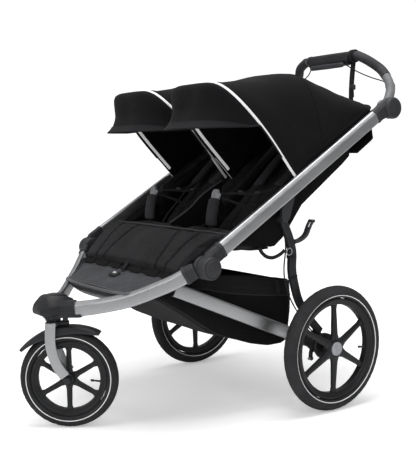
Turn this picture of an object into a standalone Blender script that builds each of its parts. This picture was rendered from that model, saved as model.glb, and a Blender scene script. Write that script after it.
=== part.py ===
"""Side-by-side jogging stroller for two children.

A folding aluminium frame on three wheels.  The front frame (head block, two
curved lower tubes, hub joints, footrest and seat base) carries the upper frame
(two long tubes, canopies, reclining seat backs and the handlebar) on a pair of
hub hinges, and the rear arm (two struts, axle, basket and drum-braked wheels)
on a second pair of hinges.  S-shaped uprights tie the rear arm to the upper
tubes.

Units are metres.  +X is the stroller's left side, -Y is forward, +Z is up, the
ground is z = 0.  Shapes are written with y = 0 at the rear axle; one empty
carries the whole model and moves the middle of its length to y = 0.
Paired pieces are written on the left (+X) side and mirrored for the right.
"""

import math

import bmesh
import bpy
from mathutils import Matrix, Vector

for old_object in list(bpy.data.objects):
    bpy.data.objects.remove(old_object, do_unlink=True)

# ---------------------------------------------------------------- dimensions
SHIFT_Y = 0.23079             # moves the middle of the length to y = 0
GAP = 0.0004                  # clearance between a tyre and its rim
END_GAP = 1.5 * GAP           # clearance between a tube end and its socket

# wheels
REAR_R = 0.195                # tyre radius (16 inch wheel)
REAR_RIM_R = 0.1575           # tyre seat radius
REAR_WINDOW_R = 0.138         # outer edge of the windows between the spokes
TRACK = 0.374                 # rear wheel centre plane from the middle
FRONT_R = 0.145               # tyre radius (12 inch wheel)
FRONT_RIM_R = 0.112
FRONT_WINDOW_R = 0.090
SPOKES = 6
STEER_Y = -0.765              # steering axis
TRAIL = 0.045                 # front axle behind the steering axis
SWIVEL = math.radians(-37)    # front wheel turned at rest
FORK_TOP = 0.3152             # top face of the fork crown
LOCK_Y = 0.0365               # swivel lock behind the steering axis

# hinge axes and ends of the frame members, as (y, z)
HUB = (-0.4585, 0.4805)       # hinge between front frame and upper frame
STRUT_PIVOT = (-0.500, 0.410)
AXLE = (0.0, REAR_R)
FRONT_AXLE = (TRAIL, FRONT_R)     # in the fork's own axes
UPRIGHT_FOOT = (-0.006, 0.240)
UPRIGHT_TOP = (-0.1645, 0.6044)
CATCH_PIVOT = (-0.1195, 0.531)
RECLINE = (-0.185, 0.548)
CANOPY_PIVOT = (-0.125, 0.730)
HANDLE_PIVOT = (0.2650, 0.9400)
CROSSBAR = (0.345, 1.135)
TUBE_LOW = (-0.4135, 0.5290)
TUBE_TOP = (0.2025, 0.9125)

# distances from the middle plane
TUBE_X = 0.350                # upper tube centre plane
UPRIGHT_X = 0.318             # upright centre plane
STRUT_TOP_X = 0.262           # rear strut, upper end
STRUT_LOW_X = 0.300           # rear strut, lower end
CANOPY_MID = 0.177            # a canopy's middle plane
SEAT_IN, SEAT_OUT = 0.020, 0.300    # a seat back's inner and outer edge
SEAT_MID = (SEAT_IN + SEAT_OUT) / 2

# tubes, pins and sheets
TUBE_HALF_WIDTH, TUBE_HALF_HEIGHT = 0.011, 0.021
PIN_R = 0.0080                # strut pivot pin
AXLE_TUBE_R = 0.014
HANDLE_R = 0.0115             # handlebar tube
HANDLE_BORE_R = 0.0122        # bore of the parts that turn on the crossbar
SHEET = 0.003                 # fabric thickness

SIDES = (("left", 1), ("right", -1))


def tube_line(y):
    """Height of an upper tube's centre line above a point on its length."""
    slope = (TUBE_TOP[1] - TUBE_LOW[1]) / (TUBE_TOP[0] - TUBE_LOW[0])
    return TUBE_LOW[1] + slope * (y - TUBE_LOW[0])


# ----------------------------------------------------------------- materials
def material(name, colour, roughness, metallic=0.0):
    made = bpy.data.materials.new(name)
    made.use_nodes = True
    shader = made.node_tree.nodes["Principled BSDF"]
    shader.inputs["Base Color"].default_value = (*colour, 1.0)
    shader.inputs["Roughness"].default_value = roughness
    shader.inputs["Metallic"].default_value = metallic
    return made


ALU = material("satin_aluminium", colour=(0.56, 0.57, 0.58), roughness=0.34, metallic=1.0)
BLACK = material("black_plastic", colour=(0.025, 0.026, 0.028), roughness=0.42)
GREY = material("grey_plastic", colour=(0.085, 0.087, 0.092), roughness=0.48)
FABRIC = material("black_fabric", colour=(0.012, 0.012, 0.013), roughness=0.85)
FOAM = material("grip_foam", colour=(0.018, 0.018, 0.019), roughness=0.8)
RUBBER = material("tyre_rubber", colour=(0.022, 0.022, 0.023), roughness=0.75)
RIM = material("rim_plastic", colour=(0.02, 0.02, 0.022), roughness=0.45)
CAP = material("cap_grey", colour=(0.42, 0.43, 0.45), roughness=0.35)
WEBBING = material("pad_webbing", colour=(0.03, 0.03, 0.031), roughness=0.7)

# -------------------------------------------------------------------- joints
# name, parent, place in the axes the parent's shapes are written in
JOINTS = [
    ("front_frame", "stroller", (0, 0, 0)),
    ("upper_frame", "front_frame", (0, *HUB)),
    ("handlebar", "upper_frame", (0, *HANDLE_PIVOT)),
    ("pivot_button_left", "handlebar", (0.31, *HANDLE_PIVOT)),
    ("pivot_button_right", "handlebar", (-0.31, *HANDLE_PIVOT)),
    ("brake_twist", "handlebar", (0, *CROSSBAR)),
    ("canopy_left", "upper_frame", (CANOPY_MID, *CANOPY_PIVOT)),
    ("canopy_right", "upper_frame", (-CANOPY_MID, *CANOPY_PIVOT)),
    ("seat_back_left", "upper_frame", (SEAT_MID, *RECLINE)),
    ("seat_back_right", "upper_frame", (-SEAT_MID, *RECLINE)),
    ("rear_arm", "front_frame", (0, *STRUT_PIVOT)),
    ("brake_pedal", "rear_arm", (0.21, *AXLE)),
    ("uprights", "rear_arm", (0, *UPRIGHT_FOOT)),
    ("fold_catch_left", "uprights", (UPRIGHT_X, *CATCH_PIVOT)),
    ("fold_catch_right", "uprights", (-UPRIGHT_X, *CATCH_PIVOT)),
    ("rear_wheel_left", "rear_arm", (TRACK, *AXLE)),
    ("rear_wheel_right", "rear_arm", (-TRACK, *AXLE)),
    ("front_fork", "front_frame", (0, STEER_Y, 0)),
    # below the fork, places are in the fork's own axes: +Y trails, X is the axle
    ("swivel_lock", "front_fork", (0, LOCK_Y, FORK_TOP)),
    ("front_wheel", "front_fork", (0, *FRONT_AXLE)),
]

root = bpy.data.objects.new("stroller", None)
bpy.context.scene.collection.objects.link(root)
root.location = (0, SHIFT_Y, 0)
EMPTIES = {"stroller": root}
# each joint's place in the axes its own shapes are written in
ORIGINS = {"stroller": Vector((0, 0, 0))}

for joint, parent, place in JOINTS:
    empty = bpy.data.objects.new("joint_" + joint, None)
    bpy.context.scene.collection.objects.link(empty)
    empty.empty_display_size = 0.05
    empty.parent = EMPTIES[parent]
    empty.location = Vector(place) - ORIGINS[parent]
    EMPTIES[joint] = empty
    ORIGINS[joint] = Vector(place)

# the turned fork starts axes of its own
EMPTIES["front_fork"].rotation_euler = (0, 0, SWIVEL)
ORIGINS["front_fork"] = Vector((0, 0, 0))
for joint in ("swivel_lock", "front_wheel"):
    EMPTIES[joint].location = ORIGINS[joint]


# ------------------------------------------------------------ adding objects
def add_piece(name, solid, mat, owner, side=1, sharp=35):
    """Turns a bmesh, written in the owner's axes, into a named object."""
    if side < 0:
        bmesh.ops.scale(solid, vec=(-1, 1, 1), verts=solid.verts)
    bmesh.ops.recalc_face_normals(solid, faces=solid.faces)
    mesh = bpy.data.meshes.new(name)
    solid.to_mesh(mesh)
    solid.free()
    mesh.transform(Matrix.Translation(-ORIGINS[owner]))
    mesh.materials.append(mat)
    mesh.shade_smooth()
    mesh.set_sharp_from_angle(angle=math.radians(sharp))
    piece = bpy.data.objects.new(name, mesh)
    bpy.context.scene.collection.objects.link(piece)
    piece.parent = EMPTIES[owner]
    return piece


def add_joined(name, solids, mat, owner, side=1, sharp=35, cut=()):
    """One closed solid: the Boolean union of the solids, less the cut ones."""
    main = add_piece(name, solids[0], mat, owner, side, sharp)
    for operation, group in (("UNION", solids[1:]), ("DIFFERENCE", cut)):
        label = operation.lower()
        for i, solid in enumerate(group):
            helper = add_piece(f"{name}_{label}_{i}", solid, mat, owner, side, sharp)
            helper.hide_render = True
            helper.display_type = "WIRE"
            modifier = main.modifiers.new(f"{label}_{i}", "BOOLEAN")
            modifier.operation = operation
            modifier.solver = "EXACT"
            modifier.object = helper


def both_sides(make):
    """The left solid that make() returns, and its mirror image."""
    mirrored = make()
    bmesh.ops.scale(mirrored, vec=(-1, 1, 1), verts=mirrored.verts)
    bmesh.ops.recalc_face_normals(mirrored, faces=mirrored.faces)
    return [make(), mirrored]


# ---------------------------------------------------------- curves and rings
def circle_angles(count, offset=0.0):
    return [2 * math.pi * (k + offset) / count for k in range(count)]


def signed_power(value, exponent):
    return math.copysign(abs(value) ** exponent, value)


def oval(count, half_width, half_height, power=2.0):
    """Points of a superellipse."""
    return [(half_width * signed_power(math.cos(angle), 2 / power),
             half_height * signed_power(math.sin(angle), 2 / power))
            for angle in circle_angles(count, 0.5)]


def spline(points, steps):
    """Catmull-Rom curve through the points."""
    knots = [Vector(point) for point in points]
    knots = [2 * knots[0] - knots[1]] + knots + [2 * knots[-1] - knots[-2]]
    curve = []
    for i in range(1, len(knots) - 2):
        before, start, end, after = knots[i - 1:i + 3]
        for k in range(steps):
            t = k / steps
            curve.append(0.5 * ((2 * start) + (end - before) * t
                                + (2 * before - 5 * start + 4 * end - after) * t * t
                                + (3 * start - before - 3 * end + after) * t ** 3))
    curve.append(knots[-2].copy())
    return curve


def tangents(path):
    last = len(path) - 1
    return [(path[min(i + 1, last)] - path[max(i - 1, 0)]).normalized()
            for i in range(len(path))]


def pipe_frames(path):
    """Point and two cross directions at each path point, without twist."""
    path = [Vector(point) for point in path]
    ways = tangents(path)
    reference = Vector((0, 0, 1)) if abs(ways[0].z) < 0.9 else Vector((1, 0, 0))
    across = ways[0].cross(reference).normalized()
    frames = []
    for point, way in zip(path, ways):
        across = (across - way * across.dot(way)).normalized()
        frames.append((point, across, way.cross(across)))
    return frames


def frame_ring(frame, radius, count):
    point, across, high = frame
    return [point + (across * math.cos(angle) + high * math.sin(angle)) * radius
            for angle in circle_angles(count)]


# -------------------------------------------------------------------- solids
def loft(rings, closed=False):
    """Skin over the rings: capped at both ends, or closed on itself."""
    solid = bmesh.new()
    rows = [[solid.verts.new(point) for point in ring] for ring in rings]
    count = len(rows[0])
    pairs = list(zip(rows, rows[1:])) + ([(rows[-1], rows[0])] if closed else [])
    for row, next_row in pairs:
        for i in range(count):
            j = (i + 1) % count
            solid.faces.new((row[i], row[j], next_row[j], next_row[i]))
    if not closed:
        solid.faces.new(rows[0][::-1])
        solid.faces.new(rows[-1])
    return solid


def loft_along_y(stations):
    """Loft over stations of y and a section of (x, z) points."""
    return loft([[(x, y, z) for x, z in section] for y, section in stations])


def sweep(path, sections, up=(0, 0, 1)):
    """Loft of one section, or one per point, along a path.  A section is a
    list of (side, up) offsets; the side direction is square to `up`."""
    path = [Vector(point) for point in path]
    if isinstance(sections[0][0], (int, float)):
        sections = [sections] * len(path)
    rings = []
    for point, way, section in zip(path, tangents(path), sections):
        across = way.cross(Vector(up)).normalized()
        high = across.cross(way).normalized()
        rings.append([point + across * u + high * v for u, v in section])
    return loft(rings)


def pipe(path, radius, count=10):
    return loft([frame_ring(frame, radius, count) for frame in pipe_frames(path)])


def sleeve(path, inner_r, outer_r, count=12):
    """A tube wall with open ends along a path."""
    frames = pipe_frames(path)
    rings = [frame_ring(frame, outer_r, count) for frame in frames]
    rings += [frame_ring(frame, inner_r, count) for frame in reversed(frames)]
    return loft(rings, closed=True)


def lathe(stations, centre, count=24):
    """A solid turned about an axis along X.  Stations are (x, radius)."""
    y, z = centre
    return loft([[(x, y + radius * math.cos(angle), z + radius * math.sin(angle))
                  for angle in circle_angles(count)]
                 for x, radius in stations])


def turned_ring(profile, centre, count=36):
    """A closed ring turned about an axis along X, with a facet facing straight
    down.  Profile is (x, distance from the axis to the facet)."""
    y, z = centre
    grow = 1 / math.cos(math.pi / count)
    return loft([[(x, y + radius * grow * math.cos(angle), z + radius * grow * math.sin(angle))
                  for x, radius in profile]
                 for angle in circle_angles(count, 0.5)], closed=True)


def post(stations, centre, count=20):
    """A solid turned about a vertical axis.  Stations are (z, radius)."""
    x, y = centre
    return loft([[(x + radius * math.cos(angle), y + radius * math.sin(angle), z)
                  for angle in circle_angles(count)]
                 for z, radius in stations])


def chamfer(solid, size):
    bmesh.ops.bevel(solid, geom=list(solid.edges), offset=size, segments=1,
                    affect="EDGES", profile=0.5)


def prism(outline, x_start, x_end, round_off=0.0):
    """A flat plate: an outline in (y, z) between two x planes."""
    solid = bmesh.new()
    face = solid.faces.new([solid.verts.new((x_start, y, z)) for y, z in outline])
    moved = bmesh.ops.extrude_face_region(solid, geom=[face])["geom"]
    bmesh.ops.translate(solid, vec=(x_end - x_start, 0, 0),
                        verts=[part for part in moved if isinstance(part, bmesh.types.BMVert)])
    if round_off:
        chamfer(solid, round_off)
    return solid


def box(low, high, round_off=0.0):
    solid = bmesh.new()
    bmesh.ops.create_cube(solid, size=1.0)
    for vert in solid.verts:
        vert.co = Vector([(start + end) / 2 + unit * (end - start)
                          for start, end, unit in zip(low, high, vert.co)])
    if round_off:
        chamfer(solid, round_off)
    return solid


def shell(grid, thick, inward):
    """A sheet with thickness from a grid of points.  `inward` is a point on
    the hollow side; the rim is closed all round."""
    rows, cols = len(grid), len(grid[0])
    points = [[Vector(point) for point in row] for row in grid]
    solid = bmesh.new()
    outer = [[solid.verts.new(point) for point in row] for row in points]
    inner = []
    for i in range(rows):
        line = []
        for j in range(cols):
            along = points[i][min(j + 1, cols - 1)] - points[i][max(j - 1, 0)]
            down = points[min(i + 1, rows - 1)][j] - points[max(i - 1, 0)][j]
            normal = along.cross(down)
            normal = normal.normalized() if normal.length > 1e-12 else Vector((0, 0, 1))
            if normal.dot(Vector(inward) - points[i][j]) < 0:
                normal = -normal
            line.append(solid.verts.new(points[i][j] + normal * thick))
        inner.append(line)
    for i in range(rows - 1):
        for j in range(cols - 1):
            solid.faces.new((outer[i][j], outer[i][j + 1],
                             outer[i + 1][j + 1], outer[i + 1][j]))
            solid.faces.new((inner[i][j], inner[i + 1][j],
                             inner[i + 1][j + 1], inner[i][j + 1]))
    for i in range(rows - 1):
        for j in (0, cols - 1):
            solid.faces.new((outer[i][j], outer[i + 1][j], inner[i + 1][j], inner[i][j]))
    for j in range(cols - 1):
        for i in (0, rows - 1):
            solid.faces.new((outer[i][j], outer[i][j + 1], inner[i][j + 1], inner[i][j]))
    return solid


def spoked_plate(rows, half_hub, half_rim, window, centre):
    """A wheel body: a plate turned about X with a window between each two
    spokes.  Rows are (radius, x of one face, x of the other); the windows lie
    between rows window and window + 1.  half_hub and half_rim are a spoke's
    half widths at its two ends."""
    window_points = 3       # points along a window's edge, between its corners
    per_spoke = 2 + window_points
    count = SPOKES * per_spoke
    pitch = 2 * math.pi / SPOKES
    x_mid, y_mid, z_mid = centre

    def row_angles(k):
        if k <= window:
            half = half_hub / rows[window][0]
        else:
            half = half_rim / rows[window + 1][0]
        angles = []
        for i in range(SPOKES):
            middle = 2 * math.pi * i / SPOKES + math.pi / 2
            angles += [middle - half, middle + half]
            angles += [middle + half + (pitch - 2 * half) * m / (window_points + 1)
                       for m in range(1, window_points + 1)]
        return angles

    solid = bmesh.new()
    grid = [[[solid.verts.new((x_mid + x, y_mid + radius * math.cos(angle),
                               z_mid + radius * math.sin(angle)))
              for angle in row_angles(k)]
             for x in faces_x]
            for k, (radius, *faces_x) in enumerate(rows)]

    for k in range(len(rows) - 1):
        for j in range(count):
            after = (j + 1) % count
            if k == window and j % per_spoke:
                continue
            for face in (0, 1):
                ring, next_ring = grid[k][face], grid[k + 1][face]
                solid.faces.new((ring[j], ring[after], next_ring[after], next_ring[j]))
            if k == window:
                # the two flanks of a spoke
                for i in (j, after):
                    solid.faces.new((grid[k][0][i], grid[k + 1][0][i],
                                     grid[k + 1][1][i], grid[k][1][i]))
    for face in (0, 1):
        solid.faces.new(grid[0][face])
    for j in range(count):
        after = (j + 1) % count
        edge_rows = [len(rows) - 1]
        if j % per_spoke:
            edge_rows += [window, window + 1]
        for k in edge_rows:
            solid.faces.new((grid[k][0][j], grid[k][0][after],
                             grid[k][1][after], grid[k][1][j]))
    return solid


# --------------------------------------------------------------- front frame
# centre line (x, y, z): from the head block, outward and up to the hub
LOWER_TUBE = [(0.0835, -0.7125, 0.3580), (0.120, -0.678, 0.3655), (0.190, -0.619, 0.3870),
              (0.250, -0.5620, 0.4190), (0.285, -0.5300, 0.4400), (0.310, -0.5040, 0.4600)]
FRAME_SECTION = oval(16, TUBE_HALF_WIDTH, TUBE_HALF_HEIGHT, 2.6)

# y, half width, bottom z, top z
HEAD_BLOCK = [(-0.818, 0.018, 0.345, 0.368), (-0.808, 0.031, 0.338, 0.383),
              (-0.788, 0.041, 0.335, 0.396), (-0.760, 0.045, 0.334, 0.398),
              (-0.728, 0.042, 0.334, 0.392), (-0.706, 0.030, 0.338, 0.380)]

# y, half width, top z, depth
FOOTREST = [(-0.528, 0.250, 0.4480, 0.010), (-0.548, 0.232, 0.4400, 0.022),
            (-0.580, 0.196, 0.4250, 0.040), (-0.612, 0.166, 0.4090, 0.050),
            (-0.635, 0.140, 0.3990, 0.040), (-0.645, 0.130, 0.3960, 0.010)]

# y, top z, half width, thickness
CALF_PAD = [(-0.5235, 0.4560, 0.262, 0.010), (-0.512, 0.4660, 0.275, 0.016),
            (-0.480, 0.4960, 0.300, 0.018), (-0.445, 0.5280, 0.316, 0.018),
            (-0.410, 0.5560, 0.326, 0.018), (-0.382, 0.5700, 0.328, 0.018),
            (-0.3665, 0.5700, 0.326, 0.010)]

# y, top z, bottom z
SEAT_BASE = [(-0.3655, 0.5700, 0.5330), (-0.352, 0.5720, 0.5220), (-0.315, 0.5680, 0.5130),
             (-0.275, 0.5580, 0.5080), (-0.240, 0.5460, 0.5060), (-0.2300, 0.5340, 0.5120)]
SEAT_BASE_HALF = 0.318

# outline (y, z)
DIVIDER = [(-0.356, 0.5735), (-0.358, 0.5830), (-0.277, 0.6270), (-0.144, 0.7130),
           (-0.150, 0.6500), (-0.200, 0.5860), (-0.262, 0.5570), (-0.315, 0.5700)]

# z, y, half width along x, half width along y
CROTCH_STRAP = [(0.5710, -0.3200, 0.010, 0.004), (0.5820, -0.3195, 0.017, 0.009),
                (0.6450, -0.3120, 0.017, 0.010), (0.6520, -0.3110, 0.013, 0.009),
                (0.6720, -0.3080, 0.012, 0.007), (0.6800, -0.3070, 0.007, 0.005)]


def build_lower_tube(tag, side):
    add_piece(f"lower_tube_{tag}", sweep(spline(LOWER_TUBE, 3), FRAME_SECTION), ALU,
              "front_frame", side, 50)


def head_sleeve():
    """Socket from the head block towards the left lower tube."""
    start, end = Vector((0.010, -0.778, 0.3500)), Vector((0.0825, -0.7134, 0.3578))
    path = [start + Vector((0, 0, 0.006)), start.lerp(end, 0.75), end]
    return sweep(path, oval(14, 0.0155, 0.0265, 3.0))


def build_head_block():
    """Body over the steering axis, two tube sockets and a collar below."""
    body = loft_along_y([
        (y, [(u, (low + high) / 2 + v) for u, v in oval(16, half, (high - low) / 2, 3.0)])
        for y, half, low, high in HEAD_BLOCK])
    collar = post(((0.3160, 0.021), (0.322, 0.024), (0.345, 0.025)), (0, STEER_Y))
    add_joined("head_block", [body, *both_sides(head_sleeve), collar], BLACK, "front_frame")


def build_hub(tag, side):
    """Front half of the hub: the inner disc and the cuff at the lower tube end."""
    disc = lathe(((0.3220, 0.030), (0.3240, 0.033), (0.3375, 0.033)), HUB)
    end = Vector(LOWER_TUBE[-1])
    way = (end - Vector(LOWER_TUBE[-2])).normalized()
    cuff = sweep([end + way * END_GAP, end + way * 0.014, end + way * 0.030],
                 oval(14, 0.0140, 0.0245, 3.0))
    # trims the cuff where the outer half of the hub turns
    cover_room = box((0.3377, -0.50, 0.40), (0.39, -0.40, 0.56))
    add_joined(f"hub_{tag}", [disc, cuff], BLACK, "front_frame", side, cut=[cover_room])


def build_strut_bracket(tag, side):
    """Link from the hub down to the strut pivot, on the strut's inner side."""
    tilt = math.atan2(HUB[1] - STRUT_PIVOT[1], HUB[0] - STRUT_PIVOT[0])
    outline = []
    for (y, z), radius, first in ((STRUT_PIVOT, 0.016, 90), (HUB, 0.012, -90)):
        for k in range(7):
            angle = tilt + math.radians(first + k * 30)
            outline.append((y + radius * math.cos(angle), z + radius * math.sin(angle)))
    plate = prism(outline, 0.2456, 0.2508)
    pin = lathe(((0.2480, PIN_R), (0.2612, PIN_R)), STRUT_PIVOT, 16)
    hub_rod = lathe(((0.2480, 0.0115), (0.3217, 0.0115)), HUB, 16)
    add_joined(f"strut_bracket_{tag}", [plate, pin, hub_rod], BLACK, "front_frame", side)


def build_footrest_tray():
    """A shallow tray that follows the lower tubes."""
    stations = []
    for y, half, top, depth in FOOTREST:
        base = half * 0.80
        rim = half * 0.985
        rim_drop = min(depth * 0.5, 0.008)
        section = [(-half, 0), (-half * 0.5, 0), (0, 0), (half * 0.5, 0), (half, 0),
                   (rim, -rim_drop), (base, -depth * 0.80), (half * 0.5, -depth),
                   (0, -depth), (-half * 0.5, -depth), (-base, -depth * 0.80),
                   (-rim, -rim_drop)]
        stations.append((y, [(x, top + drop) for x, drop in section]))
    add_piece("footrest_tray", loft_along_y(stations), GREY, "front_frame")


def build_footrest_clip():
    """A small block lying on the tray's slope."""
    (y_rear, _, z_rear, _), (y_front, _, z_front, _) = FOOTREST[0], FOOTREST[3]
    slope = math.atan2(z_rear - z_front, y_rear - y_front)
    clip = box((-0.022, -0.013, 0), (0.022, 0.013, 0.009), 0.002)
    bmesh.ops.rotate(clip, cent=(0, 0, 0), matrix=Matrix.Rotation(slope, 3, "X"),
                     verts=clip.verts)
    bmesh.ops.translate(clip, vec=(0, -0.560, 0.4354), verts=clip.verts)
    add_piece("footrest_clip", clip, BLACK, "front_frame")


def build_calf_pad():
    """One wide slope from the footrest up to the front edge of the seats."""
    stations = []
    for y, z, half, thick in CALF_PAD:
        section = ((-half, -thick * 0.5), (-half * 0.97, 0), (0, 0.002), (half * 0.97, 0),
                   (half, -thick * 0.5), (half * 0.97, -thick), (0, -thick),
                   (-half * 0.97, -thick))
        stations.append((y, [(x, z + rise) for x, rise in section]))
    add_piece("calf_pad", loft_along_y(stations), FABRIC, "front_frame")


def build_seat_base():
    """One padded sling below both seats."""
    half = SEAT_BASE_HALF
    flat = half * 0.975
    stations = []
    for y, top, low in SEAT_BASE:
        middle = (top + low) / 2
        stations.append((y, [(-half, middle), (-flat, top), (0, top), (flat, top),
                             (half, middle), (flat, low), (0, low), (-flat, low)]))
    add_piece("seat_base", loft_along_y(stations), FABRIC, "front_frame")


def build_center_divider():
    add_piece("center_divider", prism(DIVIDER, -0.003, 0.003), FABRIC, "front_frame")


def build_crotch_strap(tag, side):
    rings = [[(CANOPY_MID + u, y + v, z) for u, v in oval(10, half_x, half_y, 3.0)]
             for z, y, half_x, half_y in CROTCH_STRAP]
    add_piece(f"crotch_strap_{tag}", loft(rings), WEBBING, "front_frame", side)


# --------------------------------------------------------------- upper frame
TUBE_START, TUBE_END = Vector((TUBE_X, *TUBE_LOW)), Vector((TUBE_X, *TUBE_TOP))
TUBE_WAY = (TUBE_END - TUBE_START).normalized()


def build_upper_tube(tag, side):
    path = [TUBE_START, (TUBE_START + TUBE_END) / 2, TUBE_END]
    add_piece(f"upper_tube_{tag}", sweep(path, FRAME_SECTION), ALU, "upper_frame", side, 50)


def build_hub_cover(tag, side):
    """Rear half of the hub: the outer disc and the neck that meets the tube."""
    disc = lathe(((0.3390, 0.033), (0.3700, 0.034), (0.3745, 0.031), (0.3745, 0.024),
                  (0.3765, 0.0225), (0.3765, 0.010)), HUB, 28)
    neck = sweep([Vector((0.3510, HUB[0] - 0.008, HUB[1] + 0.004)),
                  TUBE_START - TUBE_WAY * 0.034, TUBE_START - TUBE_WAY * END_GAP],
                 [oval(14, 0.0115, 0.026, 3.0), oval(14, 0.0117, 0.026, 3.0),
                  oval(14, 0.0117, 0.0235, 3.0)])
    add_joined(f"hub_cover_{tag}", [disc, neck], BLACK, "upper_frame", side)


def build_upright_bracket(tag, side):
    """Plate on the tube's inner face that takes the upright's top end."""
    y, z = UPRIGHT_TOP
    outline = [(y - 0.012, z - 0.010), (y + 0.004, z - 0.014), (y + 0.016, z - 0.002),
               (y + 0.052, tube_line(y + 0.052) + 0.004),
               (y - 0.008, tube_line(y - 0.008) + 0.004), (y - 0.016, z + 0.006)]
    add_piece(f"upright_bracket_{tag}", prism(outline, 0.3292, 0.3386), BLACK,
              "upper_frame", side)


def build_handle_pivot(tag, side):
    """Neck above the upper tube and the outer disc of the handle joint."""
    y, z = HANDLE_PIVOT
    disc = lathe(((0.3452, 0.032), (0.3465, 0.034), (0.3690, 0.034), (0.3740, 0.030),
                  (0.3760, 0.020), (0.3765, 0.008)), HANDLE_PIVOT, 28)
    neck = sweep([TUBE_END + TUBE_WAY * END_GAP, TUBE_END + TUBE_WAY * 0.024,
                  Vector((0.3575, y, z))],
                 [oval(14, 0.0118, 0.0235, 3.0), oval(14, 0.0118, 0.022, 3.0),
                  oval(14, 0.010, 0.020, 3.0)])
    # trims the neck where the handlebar's disc turns
    handle_room = box((0.28, y - 0.045, 0.86), (0.3450, y + 0.06, 1.02))
    add_joined(f"handle_pivot_{tag}", [disc, neck], BLACK, "upper_frame", side,
               cut=[handle_room])


def build_upper_cross_tube():
    add_piece("upper_cross_tube",
              lathe(((-0.3384, 0.010), (0.3384, 0.010)), (0.186, 0.8960), 16),
              BLACK, "upper_frame")


# ------------------------------------------------------------------ canopies
def foot(y):
    """Foot of a roof arch, just above the tube's centre line."""
    return (y, tube_line(y) + 0.030)


# arches from front to rear: (y, z) of the feet, (y, z) of the top
ROOF = [((-0.118, 0.7500), (-0.352, 0.9920)), (foot(-0.075), (-0.230, 1.0100)),
        (foot(-0.015), (-0.100, 1.0300)), (foot(0.050), (0.030, 1.0400)),
        (foot(0.105), (0.120, 1.0150)), (foot(0.150), (0.190, 0.9800)),
        (foot(0.178), (0.225, 0.9560))]
ROOF_HALF = 0.153
HOOP_BACK = (-0.118, 0.7540), (-0.350, 1.0060)
HOOP_FOOT, HOOP_TOP = (-0.141, 0.7440), (-0.385, 1.0030)
HOOP_HALF = 0.1605
VISOR_Z, VISOR_OUT = 0.875, 0.205     # front edge: height and reach forward


def arch(bottom, top, half):
    """Points of an arch from the outer foot over the top to the inner foot."""
    steps, power = 14, 3.0
    points = []
    for i in range(steps + 1):
        angle = math.pi * i / steps
        across = signed_power(math.cos(angle), 2 / power)
        rise = abs(math.sin(angle)) ** (2 / power)
        points.append(Vector((CANOPY_MID + half * across,
                              bottom[0] + (top[0] - bottom[0]) * rise,
                              bottom[1] + (top[1] - bottom[1]) * rise)))
    return points


def hoop_and_visor():
    """Rows of points: back of the hoop, its front, and two rows of visor."""
    hoop = arch(HOOP_FOOT, HOOP_TOP, HOOP_HALF)
    rows = [arch(*HOOP_BACK, HOOP_HALF), hoop]
    height_share = (VISOR_Z - HOOP_FOOT[1]) / (HOOP_TOP[1] - HOOP_FOOT[1])
    y_side = HOOP_FOOT[0] + (HOOP_TOP[0] - HOOP_FOOT[0]) * height_share
    for share in (0.5, 1.0):
        line = []
        for point in hoop:
            rise = point.z - VISOR_Z
            if rise < 0.02:
                # low on the sides the visor is only a narrow lip
                edge = point + Vector((0, -0.006, -0.005))
                bulge = 0.0
            else:
                across = max(-1.0, min(1.0, (point.x - CANOPY_MID) / HOOP_HALF))
                reach = VISOR_OUT * math.sqrt(max(0.0, 1 - across * across))
                edge = Vector((point.x, y_side - reach, VISOR_Z))
                bulge = 0.016 * math.sin(math.pi * share) * min(1.0, rise / 0.08)
            place = point.lerp(edge, share)
            place.y -= bulge
            line.append(place)
        rows.append(line)
    return rows


def build_canopy_roof(tag, side):
    """Arched roof fixed to the upper frame."""
    grid = [arch(bottom, top, ROOF_HALF) for bottom, top in ROOF]
    add_piece(f"canopy_roof_{tag}", shell(grid, SHEET, (CANOPY_MID, 0.0, 0.80)), FABRIC,
              "upper_frame", side, 60)


def build_canopy_hoop(tag, side):
    """Front hoop with a visor, which turns on the canopy joint."""
    add_piece(f"canopy_hoop_{tag}", shell(hoop_and_visor(), SHEET, (CANOPY_MID, -0.10, 0.80)),
              FABRIC, f"canopy_{tag}", side, 60)


# ---------------------------------------------------------------- seat backs
# outline (y, z)
SEAT_BACK = [(-0.196, 0.5200), (-0.145, 0.5560), (-0.073, 0.6480), (0.010, 0.7030),
             (0.096, 0.7560), (0.150, 0.7900), (0.172, 0.8350), (0.128, 0.8650),
             (-0.020, 0.7350), (-0.184, 0.5700)]
HARNESS_TOP, HARNESS_LOW = Vector((0, 0.120, 0.8620)), Vector((0, -0.105, 0.6640))
HARNESS_X = (0.097, 0.139, 0.215, 0.257)    # edges of the two pads


def build_seat_back(tag, side):
    add_piece(f"seat_back_{tag}", prism(SEAT_BACK, SEAT_IN, SEAT_OUT), FABRIC,
              f"seat_back_{tag}", side)


def build_harness(tag, side):
    """Two shoulder pads joined by a yoke, lying on the seat back."""
    span = HARNESS_LOW - HARNESS_TOP
    way = span.normalized()
    off = Vector((0, -0.70, 0.714)).normalized()
    off = (off - way * off.dot(way)).normalized()
    yoke_start, yoke_end, length = 0.020, 0.060, span.length
    pad_1, pad_1_end, pad_2, pad_2_end = HARNESS_X
    # x, distance down the seat back
    outline = [(pad_1, yoke_start), (pad_1, length), (pad_1_end, length),
               (pad_1_end, yoke_end), (pad_2, yoke_end), (pad_2, length),
               (pad_2_end, length), (pad_2_end, yoke_start)]
    rings = [[Vector((x, 0, 0)) + HARNESS_TOP + way * down + off * height
              for x, down in outline]
             for height in (0.004, 0.018)]
    add_piece(f"harness_{tag}", loft(rings), WEBBING, f"seat_back_{tag}", side)


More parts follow.
